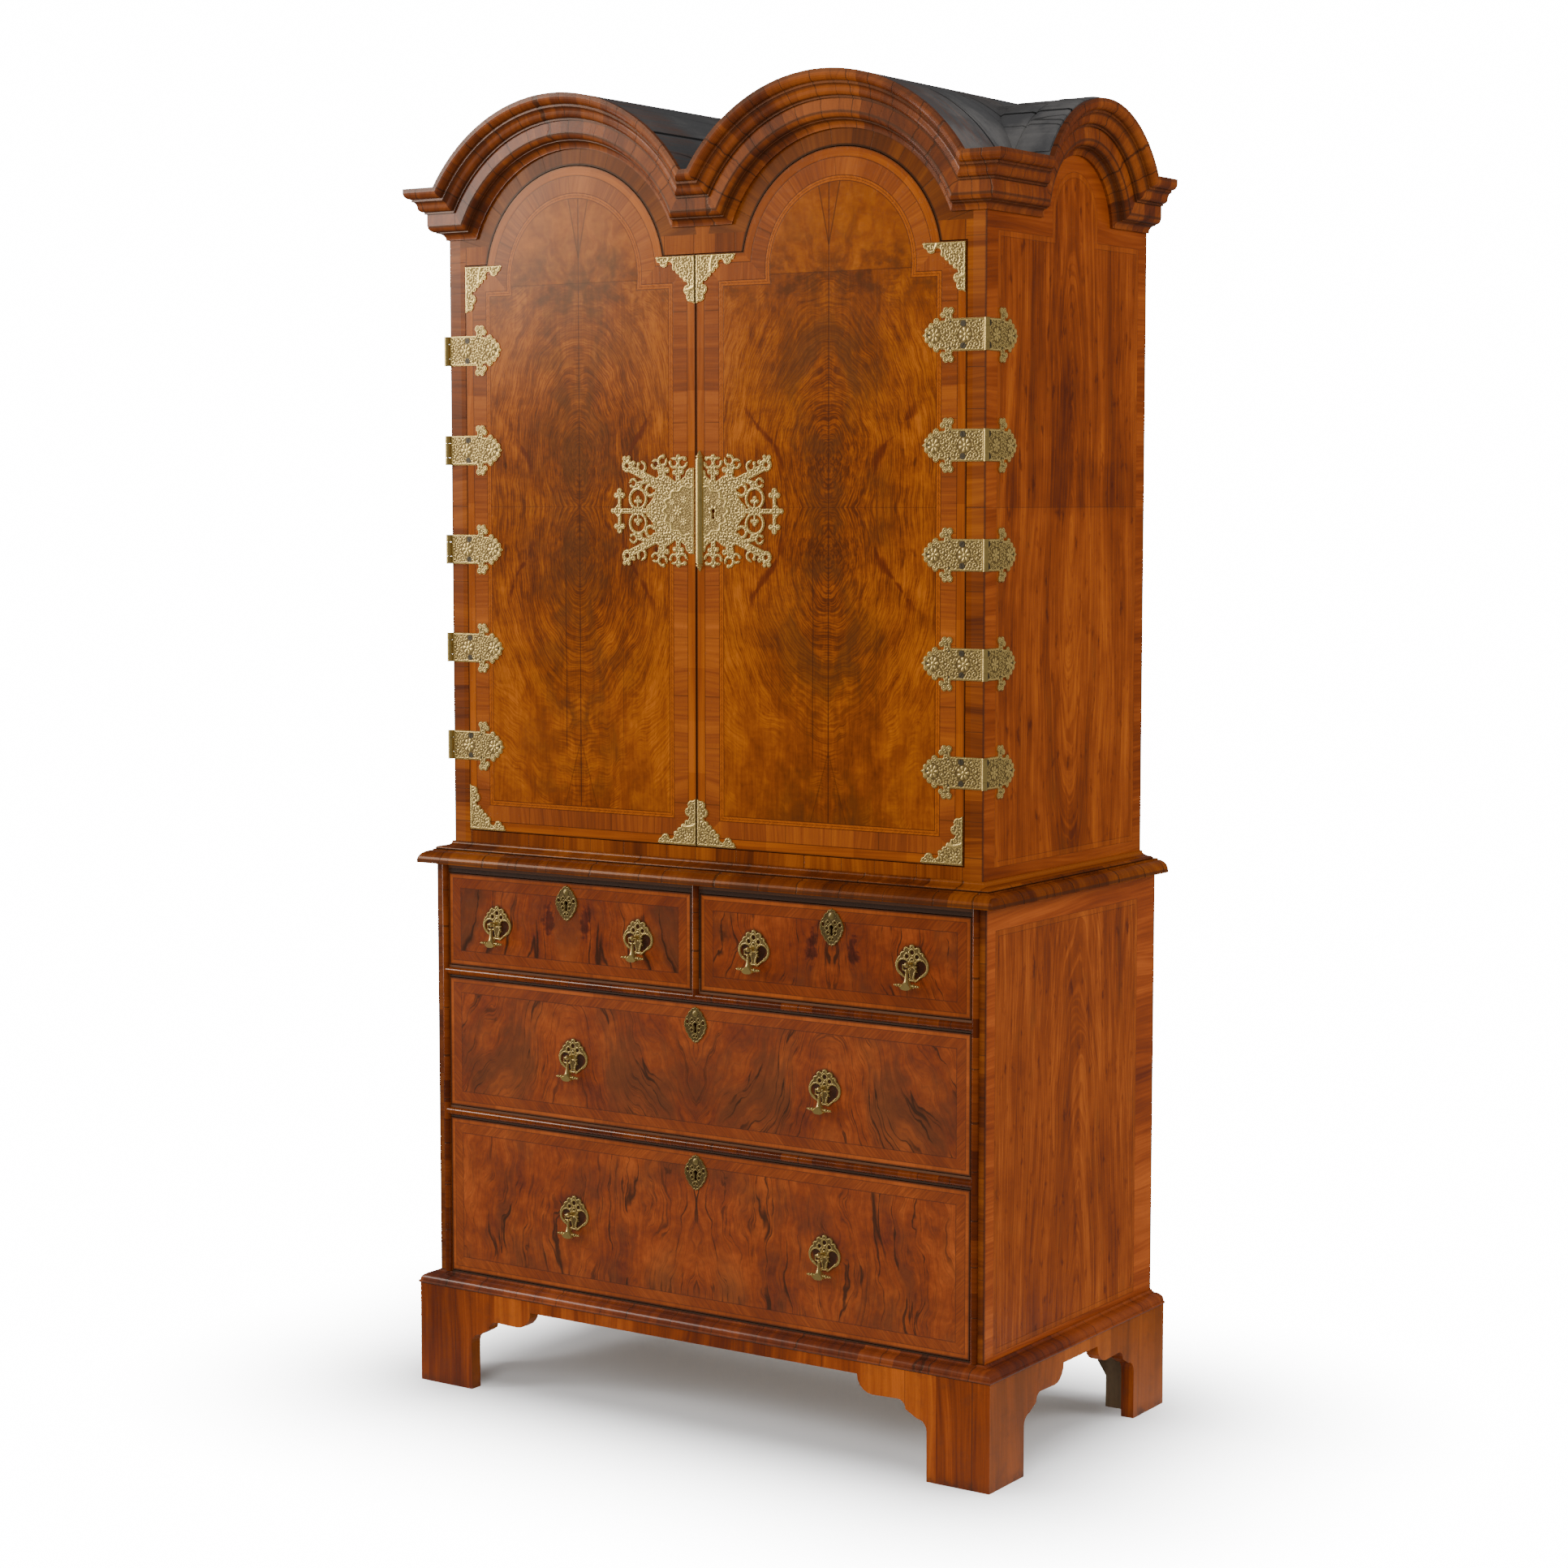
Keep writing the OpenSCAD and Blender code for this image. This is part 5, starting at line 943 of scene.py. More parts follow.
def rosette(u, v, cu, cv, radius):
    """A flower with a boss in the middle and seven rounded petals."""
    du, dv = u - cu, v - cv
    rad = np.hypot(du, dv) / radius
    petal = 0.55 + 0.45 * np.cos(7 * np.arctan2(dv, du))
    leaf = petal * np.sin(np.pi * np.clip((rad - 0.22) / 0.78, 0.0, 1.0)) ** 0.7
    boss = np.sqrt(np.clip(1.0 - (rad / 0.27) ** 2, 0.0, 1.0))
    return np.maximum(leaf, boss)


def scrollwork(u, v, size, turn=0.0):
    """Curling leaves that fill a ground."""
    p = u * math.cos(turn) - v * math.sin(turn)
    q = u * math.sin(turn) + v * math.cos(turn)
    cell = size * 2.6
    row = np.floor(q / cell)
    column = np.floor(p / cell + 0.5 * (row % 2.0))
    dp = p - (column + 0.5 - 0.5 * (row % 2.0)) * cell
    dq = q - (row + 0.5) * cell
    hand = np.where((row + column) % 2.0 > 0.5, 1.0, -1.0)
    reach, way = np.hypot(dp, dq), np.arctan2(dq, dp) * hand
    curl = (0.5 + 0.5 * np.cos(reach * 2.0 * math.pi / (size * 1.05) - way + row * 1.3)) ** 1.8
    leaves = (0.5 + 0.5 * np.cos(way * 5.0 + row * 2.0 + column)) ** 1.5
    outer = soft_step(reach, cell * 0.36, cell * 0.52)
    return np.clip(curl * (1.0 - outer) + leaves * outer * 0.8, 0.0, 1.0)


def ring_line(value, at, width):
    """A raised line where the value is near at."""
    return np.exp(-((value - at) / width) ** 2)


def leaf_motif(u, v, edge, reach=DOOR_LEAF):
    """Hinge leaf: u from the tip towards the barrel, v from its middle line."""
    seats = (reach - 0.041) * 1000.0
    ground = scrollwork(u, v, 3.7) * 0.9
    for at in (20.0, seats + 4.0):
        ground = np.where(np.hypot(u - at, v) < 12.5, 0.0, ground)
        ground = np.where(np.hypot(u - at, v) < 11.0, rosette(u, v, at, 0.0, 11.0) * 1.15, ground)
    for side in (-1.0, 1.0):
        # A ring with a dot on each lobe of the outline
        for at, high, size in ((48.0, 34.7, 5.2), (39.5, 35.1, 5.0), (34.5, 28.9, 4.6), (23.5, 19.3, 5.2),
                               (15.0, 13.1, 4.8), (8.0, 6.7, 4.2)):
            lobe = np.hypot(u - at, v - side * high)
            ring = np.maximum(ring_line(lobe, size * 0.62, 0.8), 0.9 * (lobe < 1.3))
            ground = np.where(lobe < size, ring, ground)
        # Flat seats of the screws
        ground = np.where(np.hypot(u - seats, v - side * 16.0) < 5.2, 0.2, ground)
    return np.maximum(ground, ring_line(edge, 1.4, 0.7) * 0.9)


def side_leaf_motif(u, v, edge):
    """Leaf on the cabinet side: the same flower and lobes, and flat seats beside the barrel."""
    ground = leaf_motif(u, v, edge, 0.2)
    ground = np.where(np.hypot(u - 62.0, v) < 12.0, rosette(u, v, 62.0, 0.0, 11.0) * 1.15, ground)
    return np.where(np.hypot(u - 83.0, np.abs(v) - 16.5) < 5.0, 0.2, ground)


def corner_motif(u, v, edge):
    """Corner mount: leaves that grow out of the corner."""
    stem = ring_line(np.hypot(u - 62.0, v - 62.0), 34.0, 2.2)
    ground = scrollwork(u, v, 3.7, 0.7) * 0.9
    for at, high, size in ((40.0, 14.0, 9.0), (14.0, 40.0, 9.0), (66.0, 12.0, 8.0), (12.0, 66.0, 8.0)):
        ground = np.where(np.hypot(u - at, v - high) < size, rosette(u, v, at, high, size), ground)
    return np.maximum(np.maximum(ground, stem * 1.1), ring_line(edge, 1.4, 0.7) * 0.9)


def lock_motif(u, v, edge):
    """Lock plate: a wavy frame round fine flowers, and leaves outside it."""
    au, av = np.abs(u), np.abs(v)
    half_wide, half_high, scale = 58.0, 38.0, 46.0
    wave = 1.0 + 0.055 * np.cos(16.0 * np.arctan2(av / half_high, au / half_wide))
    span = ((au / half_wide) ** 2.2 + (av / half_high) ** 2.2) ** (1.0 / 2.2) / wave
    inside = scrollwork(u, v, 2.8) * 0.55
    for at, high, size in ((33.0, 0.0, 9.0), (22.0, 17.0, 6.5), (22.0, -17.0, 6.5), (44.0, 13.0, 5.5),
                           (44.0, -13.0, 5.5)):
        inside = np.where(np.hypot(u - at, v - high) < size, rosette(u, v, at, high, size) * 0.9, inside)
    fan = np.arctan2(av, au - 10.0)
    outside = scrollwork(au + 2.0 * np.sin(fan * 9.0), av, 4.0, 0.9)
    ground = np.where(span < 1.0, inside, outside) * soft_step(np.abs(span - 1.0) * scale, 2.2, 3.8)
    ridge = ring_line((span - 1.0) * scale, 0.0, 1.9) * 1.5
    return np.maximum(np.maximum(ground, ridge), ring_line(edge, 1.4, 0.65) * 0.95)


def pull_motif(u, v, edge):
    """Handle plate: a raised rim round every opening and fine leaves between."""
    return np.maximum(0.35 * scrollwork(u, v, 1.5), ring_line(edge, 1.1, 0.8))


def keyhole_motif(u, v, edge):
    """Keyhole plate: a boss at the top over fine leaves."""
    boss = np.sqrt(np.clip(1.0 - ((u / 5.2) ** 2 + ((v - 17.5) / 5.2) ** 2), 0.0, 1.0)) * 2.2
    return np.maximum(np.maximum(0.5 * scrollwork(u, v, 1.4, 0.4), ring_line(edge, 1.0, 0.7)), boss)


def around(grid):
    """Four copies of the grid, each shifted by one point, with zeros moved in."""
    wide = np.pad(grid, 1)
    return wide[:-2, 1:-1], wide[2:, 1:-1], wide[1:-1, :-2], wide[1:-1, 2:]


def inner_share(mask):
    """Share of the nearby points that lie on the plate."""
    near = mask.astype(float)
    for _ in range(2):
        near = (sum(around(near)) + 2.0 * near) / 6.0
    return near


def depth_inside(mask, step):
    """Distance from the edge of the plate, in millimetres, up to 6."""
    left, depth = mask.copy(), np.zeros(mask.shape)
    for _ in range(int(6.0 / step)):
        for side in around(left):
            left = left & side
        depth += left * step
    return depth


def verts_of(result):
    """The vertices among what an operator has made."""
    return [item for item in result["geom"] if isinstance(item, bmesh.types.BMVert)]


def chase(node, origin, across, out, span_u, span_v, step, motif, rise=1.0):
    """Relief over one plate: a grid cut to its outline and raised by the motif, with a flat back sunk in it.

    Spans and step are in millimetres, from the origin on the plate's front; rise multiplies the relief.
    """
    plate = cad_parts[node].data
    tree = BVHTree.FromPolygons([v.co for v in plate.vertices], [p.vertices for p in plate.polygons])
    origin, across, up, out = Vector(origin), Vector(across), Vector((0.0, 0.0, 1.0)), Vector(out)
    rise = rise * sizes().emboss_height * 1000.0
    grid_u, grid_v = np.meshgrid(np.arange(*span_u, step), np.arange(*span_v, step), indexing="ij")
    columns, rows = grid_u.shape
    bm = bmesh.new()
    bmesh.ops.create_grid(bm, x_segments=columns - 1, y_segments=rows - 1, size=0.5)
    mask = np.zeros((columns, rows), bool)
    places = []
    for vert in bm.verts:
        place = round((vert.co.x + 0.5) * (columns - 1)), round((vert.co.y + 0.5) * (rows - 1))
        places.append(place)
        vert.co = origin + across * (grid_u[place] / 1000.0) + up * (grid_v[place] / 1000.0)
        # On the plate where a ray from in front meets it at the level of the origin
        hit = tree.ray_cast(vert.co + out * PROBE, -out, PROBE * 2.0)
        mask[place] = hit[0] is not None and abs(hit[3] - PROBE) < PLATE_FLATNESS
    lift = motif(grid_u, grid_v, depth_inside(mask, step))
    rounding = soft_step(inner_share(mask), 0.62, 0.98)
    level = np.maximum(rounding * (SKIN + SKIN_SINK + lift * rise) - SKIN_SINK, -SKIN_SINK)
    layer = bm.verts.layers.float.new("relief")
    for vert, place in zip(bm.verts, places):
        vert[layer] = lift[place]
        vert.co += out * (level[place] / 1000.0)
    bmesh.ops.delete(bm, geom=[v for v, place in zip(bm.verts, places) if not mask[place]], context="VERTS")
    open_up(bm)
    back = bmesh.ops.extrude_face_region(bm, geom=bm.faces[:], use_keep_orig=True)
    for vert in verts_of(back):
        vert.co -= out * ((vert.co - origin).dot(out) + BACK_SINK)
    return bm


def open_up(bm):
    """Drops cells that touch the rest only at a corner, so that every edge keeps two faces in the end."""
    pinched = [True]
    while pinched:
        loose = [v for v in bm.verts if not v.link_faces]
        bmesh.ops.delete(bm, geom=loose, context="VERTS")
        pinched = [v for v in bm.verts if sum(e.is_boundary for e in v.link_edges) > 2]
        drop = {max(v.link_faces, key=lambda face: sum(e.is_boundary for e in face.edges)) for v in pinched}
        bmesh.ops.delete(bm, geom=list(drop), context="FACES")


def gather(whole, part):
    """Adds a bmesh to another one and frees it."""
    mesh = bpy.data.meshes.new("part")
    part.to_mesh(mesh)
    part.free()
    whole.from_mesh(mesh)
    bpy.data.meshes.remove(mesh)


def repeat(bm, shifts):
    """Adds shifted copies of everything in bm."""
    first = bm.verts[:] + bm.edges[:] + bm.faces[:]
    for shift in shifts:
        copy = bmesh.ops.duplicate(bm, geom=first)
        bmesh.ops.translate(bm, verts=verts_of(copy), vec=shift)


def mirror(bm):
    """Mirrors everything in bm left to right."""
    bmesh.ops.scale(bm, vec=(-1.0, 1.0, 1.0), verts=bm.verts[:])
    bmesh.ops.reverse_faces(bm, faces=bm.faces[:])


def facing(place, out):
    """A place whose Z axis points outwards."""
    turn = Vector((0.0, 0.0, 1.0)).rotation_difference(Vector(out))
    return Matrix.Translation(place) @ turn.to_matrix().to_4x4()


def stud(bm, place, out):
    """A round pin head, half sunk in the surface."""
    bmesh.ops.create_uvsphere(bm, u_segments=12, v_segments=8, radius=1.0,
                              matrix=facing(place, out) @ Matrix.Diagonal((0.0014, 0.0014, 0.0010, 1.0)))


def screw(bm, place, out, turn):
    """A screw head with a slot: a low disc with two half discs on it."""
    radius, slot = 0.0046, 0.001
    base = facing(place, out) @ Matrix.Rotation(turn, 4, "Z")
    bmesh.ops.create_cone(bm, cap_ends=True, segments=24, radius1=radius, radius2=radius, depth=0.0012,
                          matrix=base @ Matrix.Translation((0.0, 0.0, -0.0004)))
    start = math.asin(slot / 2.0 / radius)
    turns = [start + (math.pi - 2.0 * start) * k / 12.0 for k in range(13)]
    for side in (radius, -radius):
        ring = [base @ Vector((side * math.cos(a), side * math.sin(a), -0.0006)) for a in turns]
        bottom = bm.faces.new([bm.verts.new(place) for place in ring])
        top = bmesh.ops.extrude_face_region(bm, geom=[bottom], use_keep_orig=True)
        bmesh.ops.translate(bm, verts=verts_of(top), vec=Vector(out) * 0.0013)


def bent_board(low_x, high_x, rise, ragged, seed):
    """A thin board wrapped over a side dome, with one ragged edge."""
    bm = bmesh.new()
    bmesh.ops.create_grid(bm, x_segments=10, y_segments=72, size=0.5)
    outer = SIDE_DOME_R + 0.081
    for vert in bm.verts:
        share, turn = vert.co.x + 0.5, vert.co.y * 2.0 * math.radians(59.0)
        rough = (noise.noise(Vector((seed, turn * 9.0, 0.0)))
                 + 0.5 * noise.noise(Vector((seed, turn * 31.0, 4.0))))
        x = low_x + (high_x - low_x) * share + (1.0 - share) * rough * ragged
        wave = noise.noise(Vector((x * 60.0, turn * 2.0, seed))) * 0.0004
        radius = outer + rise + wave - (0.0012 if vert.is_boundary else 0.0)
        vert.co = Vector((x, SIDE_DOME_Y + radius * math.sin(turn), SIDE_DOME_Z + radius * math.cos(turn)))
    back = bmesh.ops.extrude_face_region(bm, geom=bm.faces[:], use_keep_orig=True)
    for vert in verts_of(back):
        ray = Vector((0.0, vert.co.y - SIDE_DOME_Y, vert.co.z - SIDE_DOME_Z))
        vert.co -= ray.normalized() * (ray.length - outer + 0.002)
    return bm


# Operators

class CABINET_OT_stage(bpy.types.Operator):
    """Adds the pale floor, the studio lights and the camera"""
    bl_idname = "cabinet.stage"
    bl_label = "Stage"

    def execute(self, context):
        scene = context.scene
        f = Finish("pale_floor")
        f.plug((0.92, 0.92, 0.92), f.shader.inputs["Base Color"])
        f.plug(0.8, f.shader.inputs["Roughness"])
        f.plug(0.0, f.shader.inputs["Specular IOR Level"])
        # The floor fades out into the white room away from the feet
        out_x, out_y = f.most(f.size(f.x) - 0.45, 0.0), f.most(f.size(f.y) - 0.18, 0.0)
        f.plug(f.ease(f.root(out_x * out_x + out_y * out_y), 0.02, 0.70, 1.0, 0.0), f.shader.inputs["Alpha"])
        bm = bmesh.new()
        bmesh.ops.create_grid(bm, x_segments=1, y_segments=1, size=6.0)
        mesh = bpy.data.meshes.new("floor")
        bm.to_mesh(mesh)
        bm.free()
        mesh.materials.append(f.material)
        floor = bpy.data.objects.new("floor", mesh)
        scene.collection.objects.link(floor)

        # A white room: bright to the camera, softer as light on the pieces and dim in their gloss
        world = bpy.data.worlds.new("studio")
        scene.world = world
        world.use_nodes = True
        tree = world.node_tree
        back = tree.nodes["Background"]
        back.inputs[0].default_value = (1.0, 1.0, 1.0, 1.0)
        ray = tree.nodes.new("ShaderNodeLightPath")
        dim = tree.nodes.new("ShaderNodeMix")
        dim.inputs[2].default_value = 0.80
        dim.inputs[3].default_value = 0.10
        tree.links.new(ray.outputs["Is Glossy Ray"], dim.inputs[0])
        seen = tree.nodes.new("ShaderNodeMix")
        seen.inputs[3].default_value = 16.0
        tree.links.new(ray.outputs["Is Camera Ray"], seen.inputs[0])
        tree.links.new(dim.outputs[0], seen.inputs[2])
        tree.links.new(seen.outputs[0], back.inputs[1])

        def lamp(name, place, aim, width, height, power, glossy=True):
            data = bpy.data.lights.new(name, "AREA")
            data.shape = "RECTANGLE"
            data.size, data.size_y = width, height
            data.energy = power
            lamp_object = bpy.data.objects.new(name, data)
            scene.collection.objects.link(lamp_object)
            lamp_object.location = place
            lamp_object.rotation_euler = (Vector(aim) - Vector(place)).to_track_quat("-Z", "Y").to_euler()
            lamp_object.visible_glossy = glossy
            return lamp_object

        lamp("key", (-3.3, -3.2, 2.7), (0.0, 0.0, 1.4), 1.3, 1.5, 92.0)
        lamp("front", (1.2, -4.2, 2.6), (0.0, 0.0, 1.0), 2.4, 2.4, 96.0, False)
        lamp("side", (3.8, 1.2, 2.6), (0.0, 0.0, 1.1), 1.6, 1.6, 74.0, False)
        lamp("rim", (2.6, 3.0, 3.2), (0.2, 0.0, 1.6), 0.8, 1.6, 20.0, False)
        lamp("glint", (-4.4, -2.2, 1.3), (0.0, 0.0, 1.3), 0.7, 2.6, 60.0).visible_diffuse = False

        data = bpy.data.cameras.new("camera")
        data.sensor_width = 36.0
        data.lens = CAMERA_LENS
        data.clip_end = 100.0
        camera = bpy.data.objects.new("camera", data)
        scene.collection.objects.link(camera)
        camera.matrix_world = (Matrix.Translation(CAMERA_PLACE)
                               @ Matrix.Rotation(math.radians(CAMERA_TURN), 4, "Z")
                               @ Matrix.Rotation(math.radians(90.0 - CAMERA_DIP), 4, "X"))
        scene.camera = camera
        return {"FINISHED"}


class CABINET_OT_case(bpy.types.Operator):
    """Veneers the sides, frame and feet, and finishes the inner woodwork"""
    bl_idname = "cabinet.case"
    bl_label = "Case"

    def execute(self, context):
        for side, seed in (("left", 71.0), ("right", 77.0)):
            for part, shift, margins, top, light in (("cabinet", 0.0, (0.034, 0.028, 0.030), 1.848, 1.08),
                                                     ("chest", 2.0, (0.027, 0.060, 0.030), 0.829, 1.21)):
                low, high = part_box(part + "_side_" + side)
                veneer = panel_veneer(part + "_side_veneer_" + side, seed + shift, low, high, margins, top,
                                      light, part == "cabinet")
                dress(part + "_side_" + side, veneer)
        dress("door_frame", frame_veneer("frame_cross_banding"))
        dress("bracket_plinth", foot_veneer("foot_veneer"))
        for node, name, across, along, seed, light, boards, gap_shade_from in (
                ("plinth_blocks", "block_oak", "x", "z", 81.0, 0.55, 0.0, None),
                ("chest_boards", "board_oak", "y", "x", 83.0, 0.8, 0.0, CHEST_LOW.y),
                ("drawer_rails", "rail_oak", "z", "x", 84.0, 0.7, 0.0, CHEST_LOW.y),
                ("drawer_runners", "runner_oak", "z", "y", 85.0, 0.8, 0.0, None),
                ("chest_back", "chest_back_oak", "x", "z", 86.0, 0.75, 0.19, None),
                ("cabinet_back", "cabinet_back_oak", "x", "z", 87.0, 0.75, 0.19, None),
                ("cabinet_floor", "floor_oak", "y", "x", 88.0, 0.85, 0.0, None),
                ("shelves", "shelf_oak", "y", "x", 89.0, 0.95, 0.0, None),
                ("shelf_rests", "rest_oak", "z", "y", 90.0, 0.85, 0.0, None)):
            dress(node, oak(name, across, along, seed, light, boards, gap_shade_from))
        dress("dome_roof", black_boards("black_roof_boards"))
        return {"FINISHED"}


class CABINET_OT_mouldings(bpy.types.Operator):
    """Gives the cornice, the waist, the base and the beads their cross grain"""
    bl_idname = "cabinet.mouldings"
    bl_label = "Mouldings"

    def execute(self, context):
        quirk_shades = [(0.0115, 0.0036, 0.62), (0.0215, 0.0028, 0.6), (0.0425, 0.0034, 0.6), (0.061, 0.0045, 0.5),
                  (0.0785, 0.004, 0.4)]
        old_wax = {"gloss": (0.30, 0.46), "coat": 0.18, "painted_sheen": 0.014}
        dull_wax = {"gloss": (0.34, 0.50), "coat": 0.24, "painted_sheen": 0.028}
        rubbed = {"gloss": (0.16, 0.28), "coat": 0.5}
        foot = {name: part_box(name + "_moulding")[0].z for name in ("waist", "seat", "base")}
        for node, name, run, members, seed, light, red, pace, polish in (
                ("cornice_front", "cornice_front", front_arch_run, quirk_shades, 91.0, 0.70, 0.35, 22.0, old_wax),
                ("cornice_sides", "cornice_side", side_arch_run, quirk_shades, 93.0, 0.74, 0.35, 24.0, old_wax),
                ("waist_moulding", "waist", level_run(foot["waist"]), [(0.0035, 0.003, 0.6)],
                 95.0, 0.62, 0.2, 13.0, {}),
                ("seat_moulding", "seat", level_run(foot["seat"]), [(0.0005, 0.002, 0.9)],
                 96.0, 0.64, 0.2, 12.0, {}),
                ("base_moulding", "base", level_run(foot["base"]), [(0.0, 0.003, 0.7)],
                 97.0, 0.70, 0.9, 13.0, dull_wax),
                ("carcase_beads", "bead", bead_run, [], 99.0, 0.52, 0.6, 14.0, rubbed)):
            dress(node, cross_grain(name + "_cross_grain", run, members, seed, light, red, pace, **polish))
        return {"FINISHED"}


class CABINET_OT_doors(bpy.types.Operator):
    """Veneers the doors"""
    bl_idname = "cabinet.doors"
    bl_label = "Doors"

    def execute(self, context):
        dress("door_right", door_veneer("door_veneer_right", DOOR_R_LOW, DOOR_R_HIGH, 1.0))
        dress("door_left", door_veneer("door_veneer_left", DOOR_L_LOW, DOOR_L_HIGH, -1.0))
        return {"FINISHED"}


class CABINET_OT_drawers(bpy.types.Operator):
    """Veneers the drawer fronts and finishes their boxes"""
    bl_idname = "cabinet.drawers"
    bl_label = "Drawers"

    def execute(self, context):
        for index, drawer in enumerate(DRAWERS):
            low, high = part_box(drawer + "_front")
            left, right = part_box(drawer + "_drop_a")
            pull = abs((left.x + right.x - low.x - high.x) / 2)
            dress(drawer + "_front", drawer_veneer(drawer + "_veneer", low, high, 101.0 + 7.0 * index, pull,
                                                   **DRAWER_LOOKS[drawer]))
            dress(drawer + "_box", oak(drawer + "_oak", "z", "y", 131.0 + index, 1.0))
        return {"FINISHED"}


class CABINET_OT_brass(bpy.types.Operator):
    """Finishes the hinges, mounts, plates and handles"""
    bl_idname = "cabinet.brass"
    bl_label = "Brass"

    def execute(self, context):
        plate = cast_brass("plate_brass", 1.3, 0.3)
        cast = cast_brass("cast_brass", 1.0, 0.4)
        iron = dark_iron("dark_iron")
        for node in ("hinge_straps", "hinge_leaves_left", "hinge_leaves_right", "corner_mounts_left",
                     "corner_mounts_right", "lock_plate_left", "lock_plate_right"):
            dress(node, plate)
        for node in ("door_bolt_guides", "door_bolt_upper", "door_bolt_lower"):
            dress(node, cast)
        for node in ("door_lock", "door_lock_bolt"):
            dress(node, iron)
        for drawer in DRAWERS:
            dress(drawer + "_fittings", cast)
            dress(drawer + "_drop_a", cast)
            dress(drawer + "_drop_b", cast)
            dress(drawer + "_bolt", iron)
        return {"FINISHED"}


class CABINET_OT_hinge_relief(bpy.types.Operator):
    """Chases flowers into the hinge leaves and adds their screws and pins"""
    bl_idname = "cabinet.hinge_relief"
    bl_label = "Hinge relief"

    def execute(self, context):
        brass = chased_brass("chased_hinges", 0.98)
        # The leaves on the cabinet sides take a lighter copy of the brass: painted light, so that they look
        # as lit as the leaves on the doors
        lit_strap_brass = chased_brass("chased_straps_painted_lighter", 1.55)
        dark = screw_brass("screw_brass")
        step = sizes().emboss_step * 1000.0
        shifts = [(0.0, 0.0, z - HINGE_Z[0]) for z in HINGE_Z[1:]]
        right, front = Vector((1.0, 0.0, 0.0)), Vector((0.0, -1.0, 0.0))
        tip_pin, screw_up, pin_up, head_out = 0.0105, 0.016, 0.019, 0.0002
        leaves = (("hinge", "hinge_leaves_right", (HINGE_X - DOOR_LEAF, DOOR_PLATE_Y), right, front,
                   DOOR_LEAF, leaf_motif, 0.069, 0.047, brass),
                  ("strap", "hinge_straps", (SIDE_PLATE_X, HINGE_Y + SIDE_LEAF), front, right,
                   SIDE_LEAF, side_leaf_motif, 0.083, 0.046, lit_strap_brass))
        for side in ("right", "left"):
            for name, node, tip, across, out, reach, motif, screws, pins, finish in leaves:
                bm = chase(node, (*tip, HINGE_Z[0]), across, out, (0.0, reach * 1000.0 - 5.0), (-41.0, 41.4),
                           step, motif)
                repeat(bm, shifts)
                heads = bmesh.new()
                for index, z in enumerate(HINGE_Z):
                    place = Vector((*tip, z)) + out * head_out
                    stud(heads, place + across * tip_pin, out)
                    for up in (-1.0, 1.0):
                        screw(heads, place + across * screws + Vector((0.0, 0.0, up * screw_up)), out,
                              0.7 + index * 1.1 + up)
                        stud(heads, place + across * pins + Vector((0.0, 0.0, up * pin_up)), out)
                if side == "left":
                    mirror(bm)
                    mirror(heads)
                body = "case" if name == "strap" else side + "_door"
                mesh_piece(name + "_chasing_" + side, bm, finish, body, 180.0)
                mesh_piece(name + "_screws_" + side, heads, dark, body)
        return {"FINISHED"}


class CABINET_OT_plate_relief(bpy.types.Operator):
    """Chases the lock plate and the corner mounts"""
    bl_idname = "cabinet.plate_relief"
    bl_label = "Plate relief"

    def execute(self, context):
        brass = chased_brass("chased_plates", 1.22)
        step = sizes().emboss_step * 1000.0
        for side, sign in (("right", 1.0), ("left", -1.0)):
            across, out = (sign, 0.0, 0.0), (0.0, -1.0, 0.0)
            bm = chase("lock_plate_" + side, (MEETING_X, DOOR_PLATE_Y, LOCK_Z), across, out,
                       (0.0, 166.0), (-90.0, 90.4), step * 0.9, lock_motif)
            mesh_piece("lock_chasing_" + side, bm, brass, side + "_door", 180.0)
            low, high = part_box("corner_mounts_" + side)
            bm = bmesh.new()
            for x in (low.x, high.x - MOUNT_REACH):
                for z in (low.z, high.z - MOUNT_REACH):
                    gather(bm, chase("corner_mounts_" + side, (x, DOOR_PLATE_Y, z), (1.0, 0.0, 0.0), out,
                                     (-1.0, 82.0), (-1.0, 82.0), step, corner_motif))
            mesh_piece("corner_chasing_" + side, bm, brass, side + "_door", 180.0)
        return {"FINISHED"}


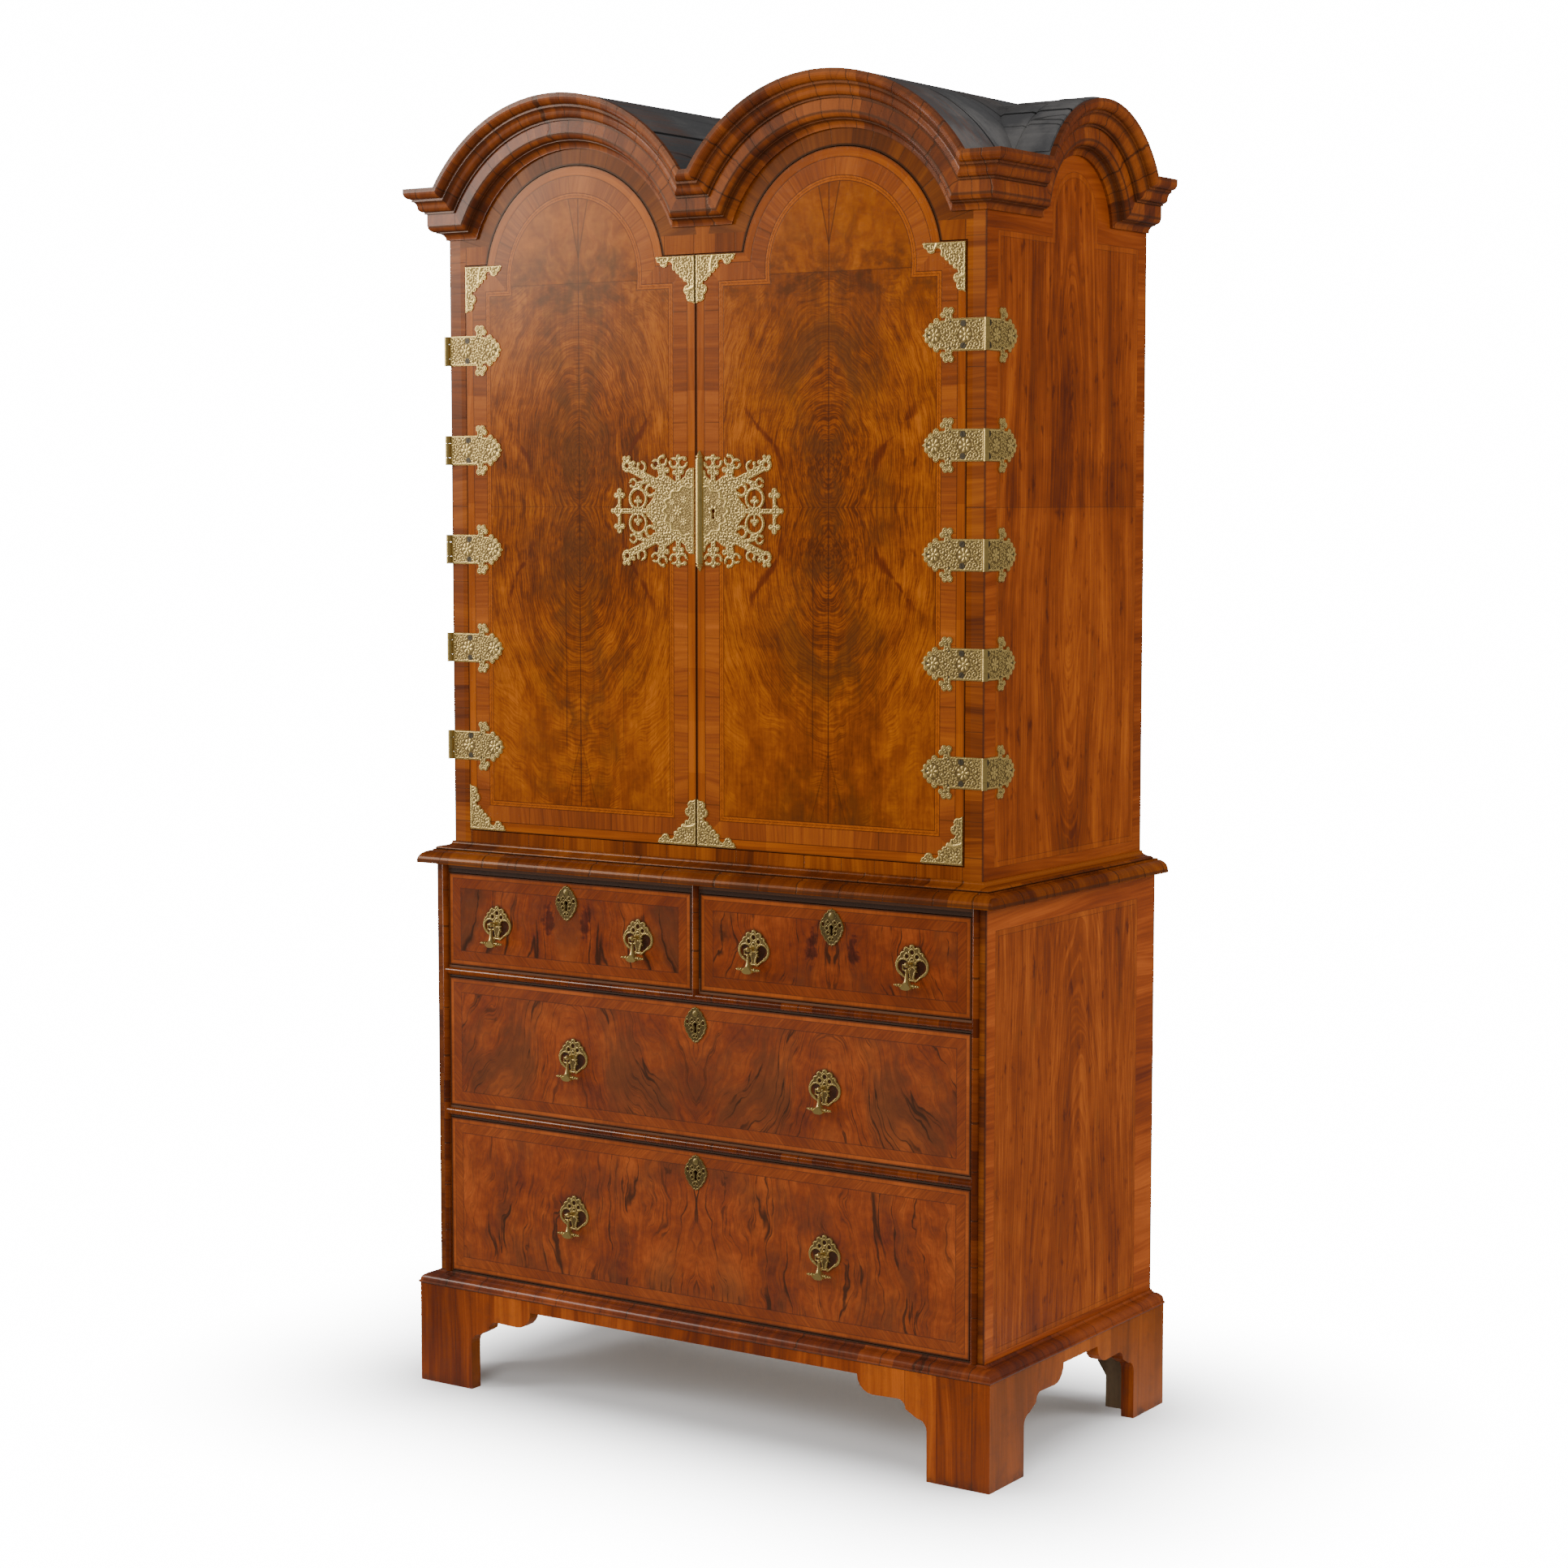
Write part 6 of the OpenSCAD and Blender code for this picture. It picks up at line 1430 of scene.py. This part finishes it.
class CABINET_OT_pull_relief(bpy.types.Operator):
    """Chases the handle plates and the keyhole plates of the drawers"""
    bl_idname = "cabinet.pull_relief"
    bl_label = "Handle plate relief"

    def execute(self, context):
        brass = chased_brass("chased_pulls", 1.0)
        aged = chased_brass("chased_keyhole_plates", 0.5)
        across, out = (1.0, 0.0, 0.0), (0.0, -1.0, 0.0)
        for drawer in DRAWERS:
            node = drawer + "_fittings"
            low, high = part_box(drawer + "_front")
            face = low.y - PULL_PLATE_OUT
            bm = bmesh.new()
            for drop in ("_drop_a", "_drop_b"):
                left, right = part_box(drawer + drop)
                middle = ((left.x + right.x) / 2, face, (low.z + high.z) / 2 - PULL_SINK)
                gather(bm, chase(node, middle, across, out, (-31.0, 31.4), (-31.0, 31.4), 0.8, pull_motif))
            mesh_piece(drawer + "_pull_chasing", bm, brass, drawer + "_drawer", 180.0)
            middle = ((low.x + high.x) / 2, face, high.z - KEYHOLE_DROP)
            bm = chase(node, middle, across, out, (-24.0, 24.4), (-31.0, 31.4), 0.6, keyhole_motif, 1.1)
            mesh_piece(drawer + "_keyhole_chasing", bm, aged, drawer + "_drawer", 180.0)
        return {"FINISHED"}


class CABINET_OT_roof_layer(bpy.types.Operator):
    """Adds the second layer of boards on the side domes"""
    bl_idname = "cabinet.roof_layer"
    bl_label = "Roof layer"

    def execute(self, context):
        boards = black_boards("black_roof_strips")
        for side in ("right", "left"):
            bm = bent_board(0.487, 0.5435, 0.0028, 0.003, 2.0)
            gather(bm, bent_board(0.425, 0.4835, 0.0018, 0.016, 7.0))
            if side == "left":
                mirror(bm)
            mesh_piece("roof_strips_" + side, bm, boards, "case")
        return {"FINISHED"}


class CABINET_PT_panel(bpy.types.Panel):
    bl_label = "Cabinet on Chest"
    bl_idname = "CABINET_PT_panel"
    bl_space_type = "VIEW_3D"
    bl_region_type = "UI"
    bl_category = "Cabinet"

    def draw(self, context):
        column = self.layout.column()
        for name in CabinetSizes.__annotations__:
            column.prop(context.scene.cabinet_sizes, name)
        for name in CabinetColours.__annotations__:
            column.prop(context.scene.cabinet_colours, name)
        for step in STEPS:
            column.operator(step.bl_idname)


STEPS = (CABINET_OT_stage, CABINET_OT_case, CABINET_OT_mouldings, CABINET_OT_doors, CABINET_OT_drawers,
         CABINET_OT_brass, CABINET_OT_hinge_relief, CABINET_OT_plate_relief, CABINET_OT_pull_relief,
         CABINET_OT_roof_layer)
CLASSES = (CabinetSizes, CabinetColours, *STEPS, CABINET_PT_panel)


def register():
    for item in CLASSES:
        bpy.utils.register_class(item)
    bpy.types.Scene.cabinet_sizes = PointerProperty(type=CabinetSizes)
    bpy.types.Scene.cabinet_colours = PointerProperty(type=CabinetColours)


def unregister():
    del bpy.types.Scene.cabinet_sizes
    del bpy.types.Scene.cabinet_colours
    for item in reversed(CLASSES):
        bpy.utils.unregister_class(item)


def main():
    register()
    for step in STEPS:
        group, name = step.bl_idname.split(".")
        if getattr(getattr(bpy.ops, group), name)() != {"FINISHED"}:
            raise RuntimeError(step.bl_label + " could not finish")


if __name__ == "__main__":
    main()
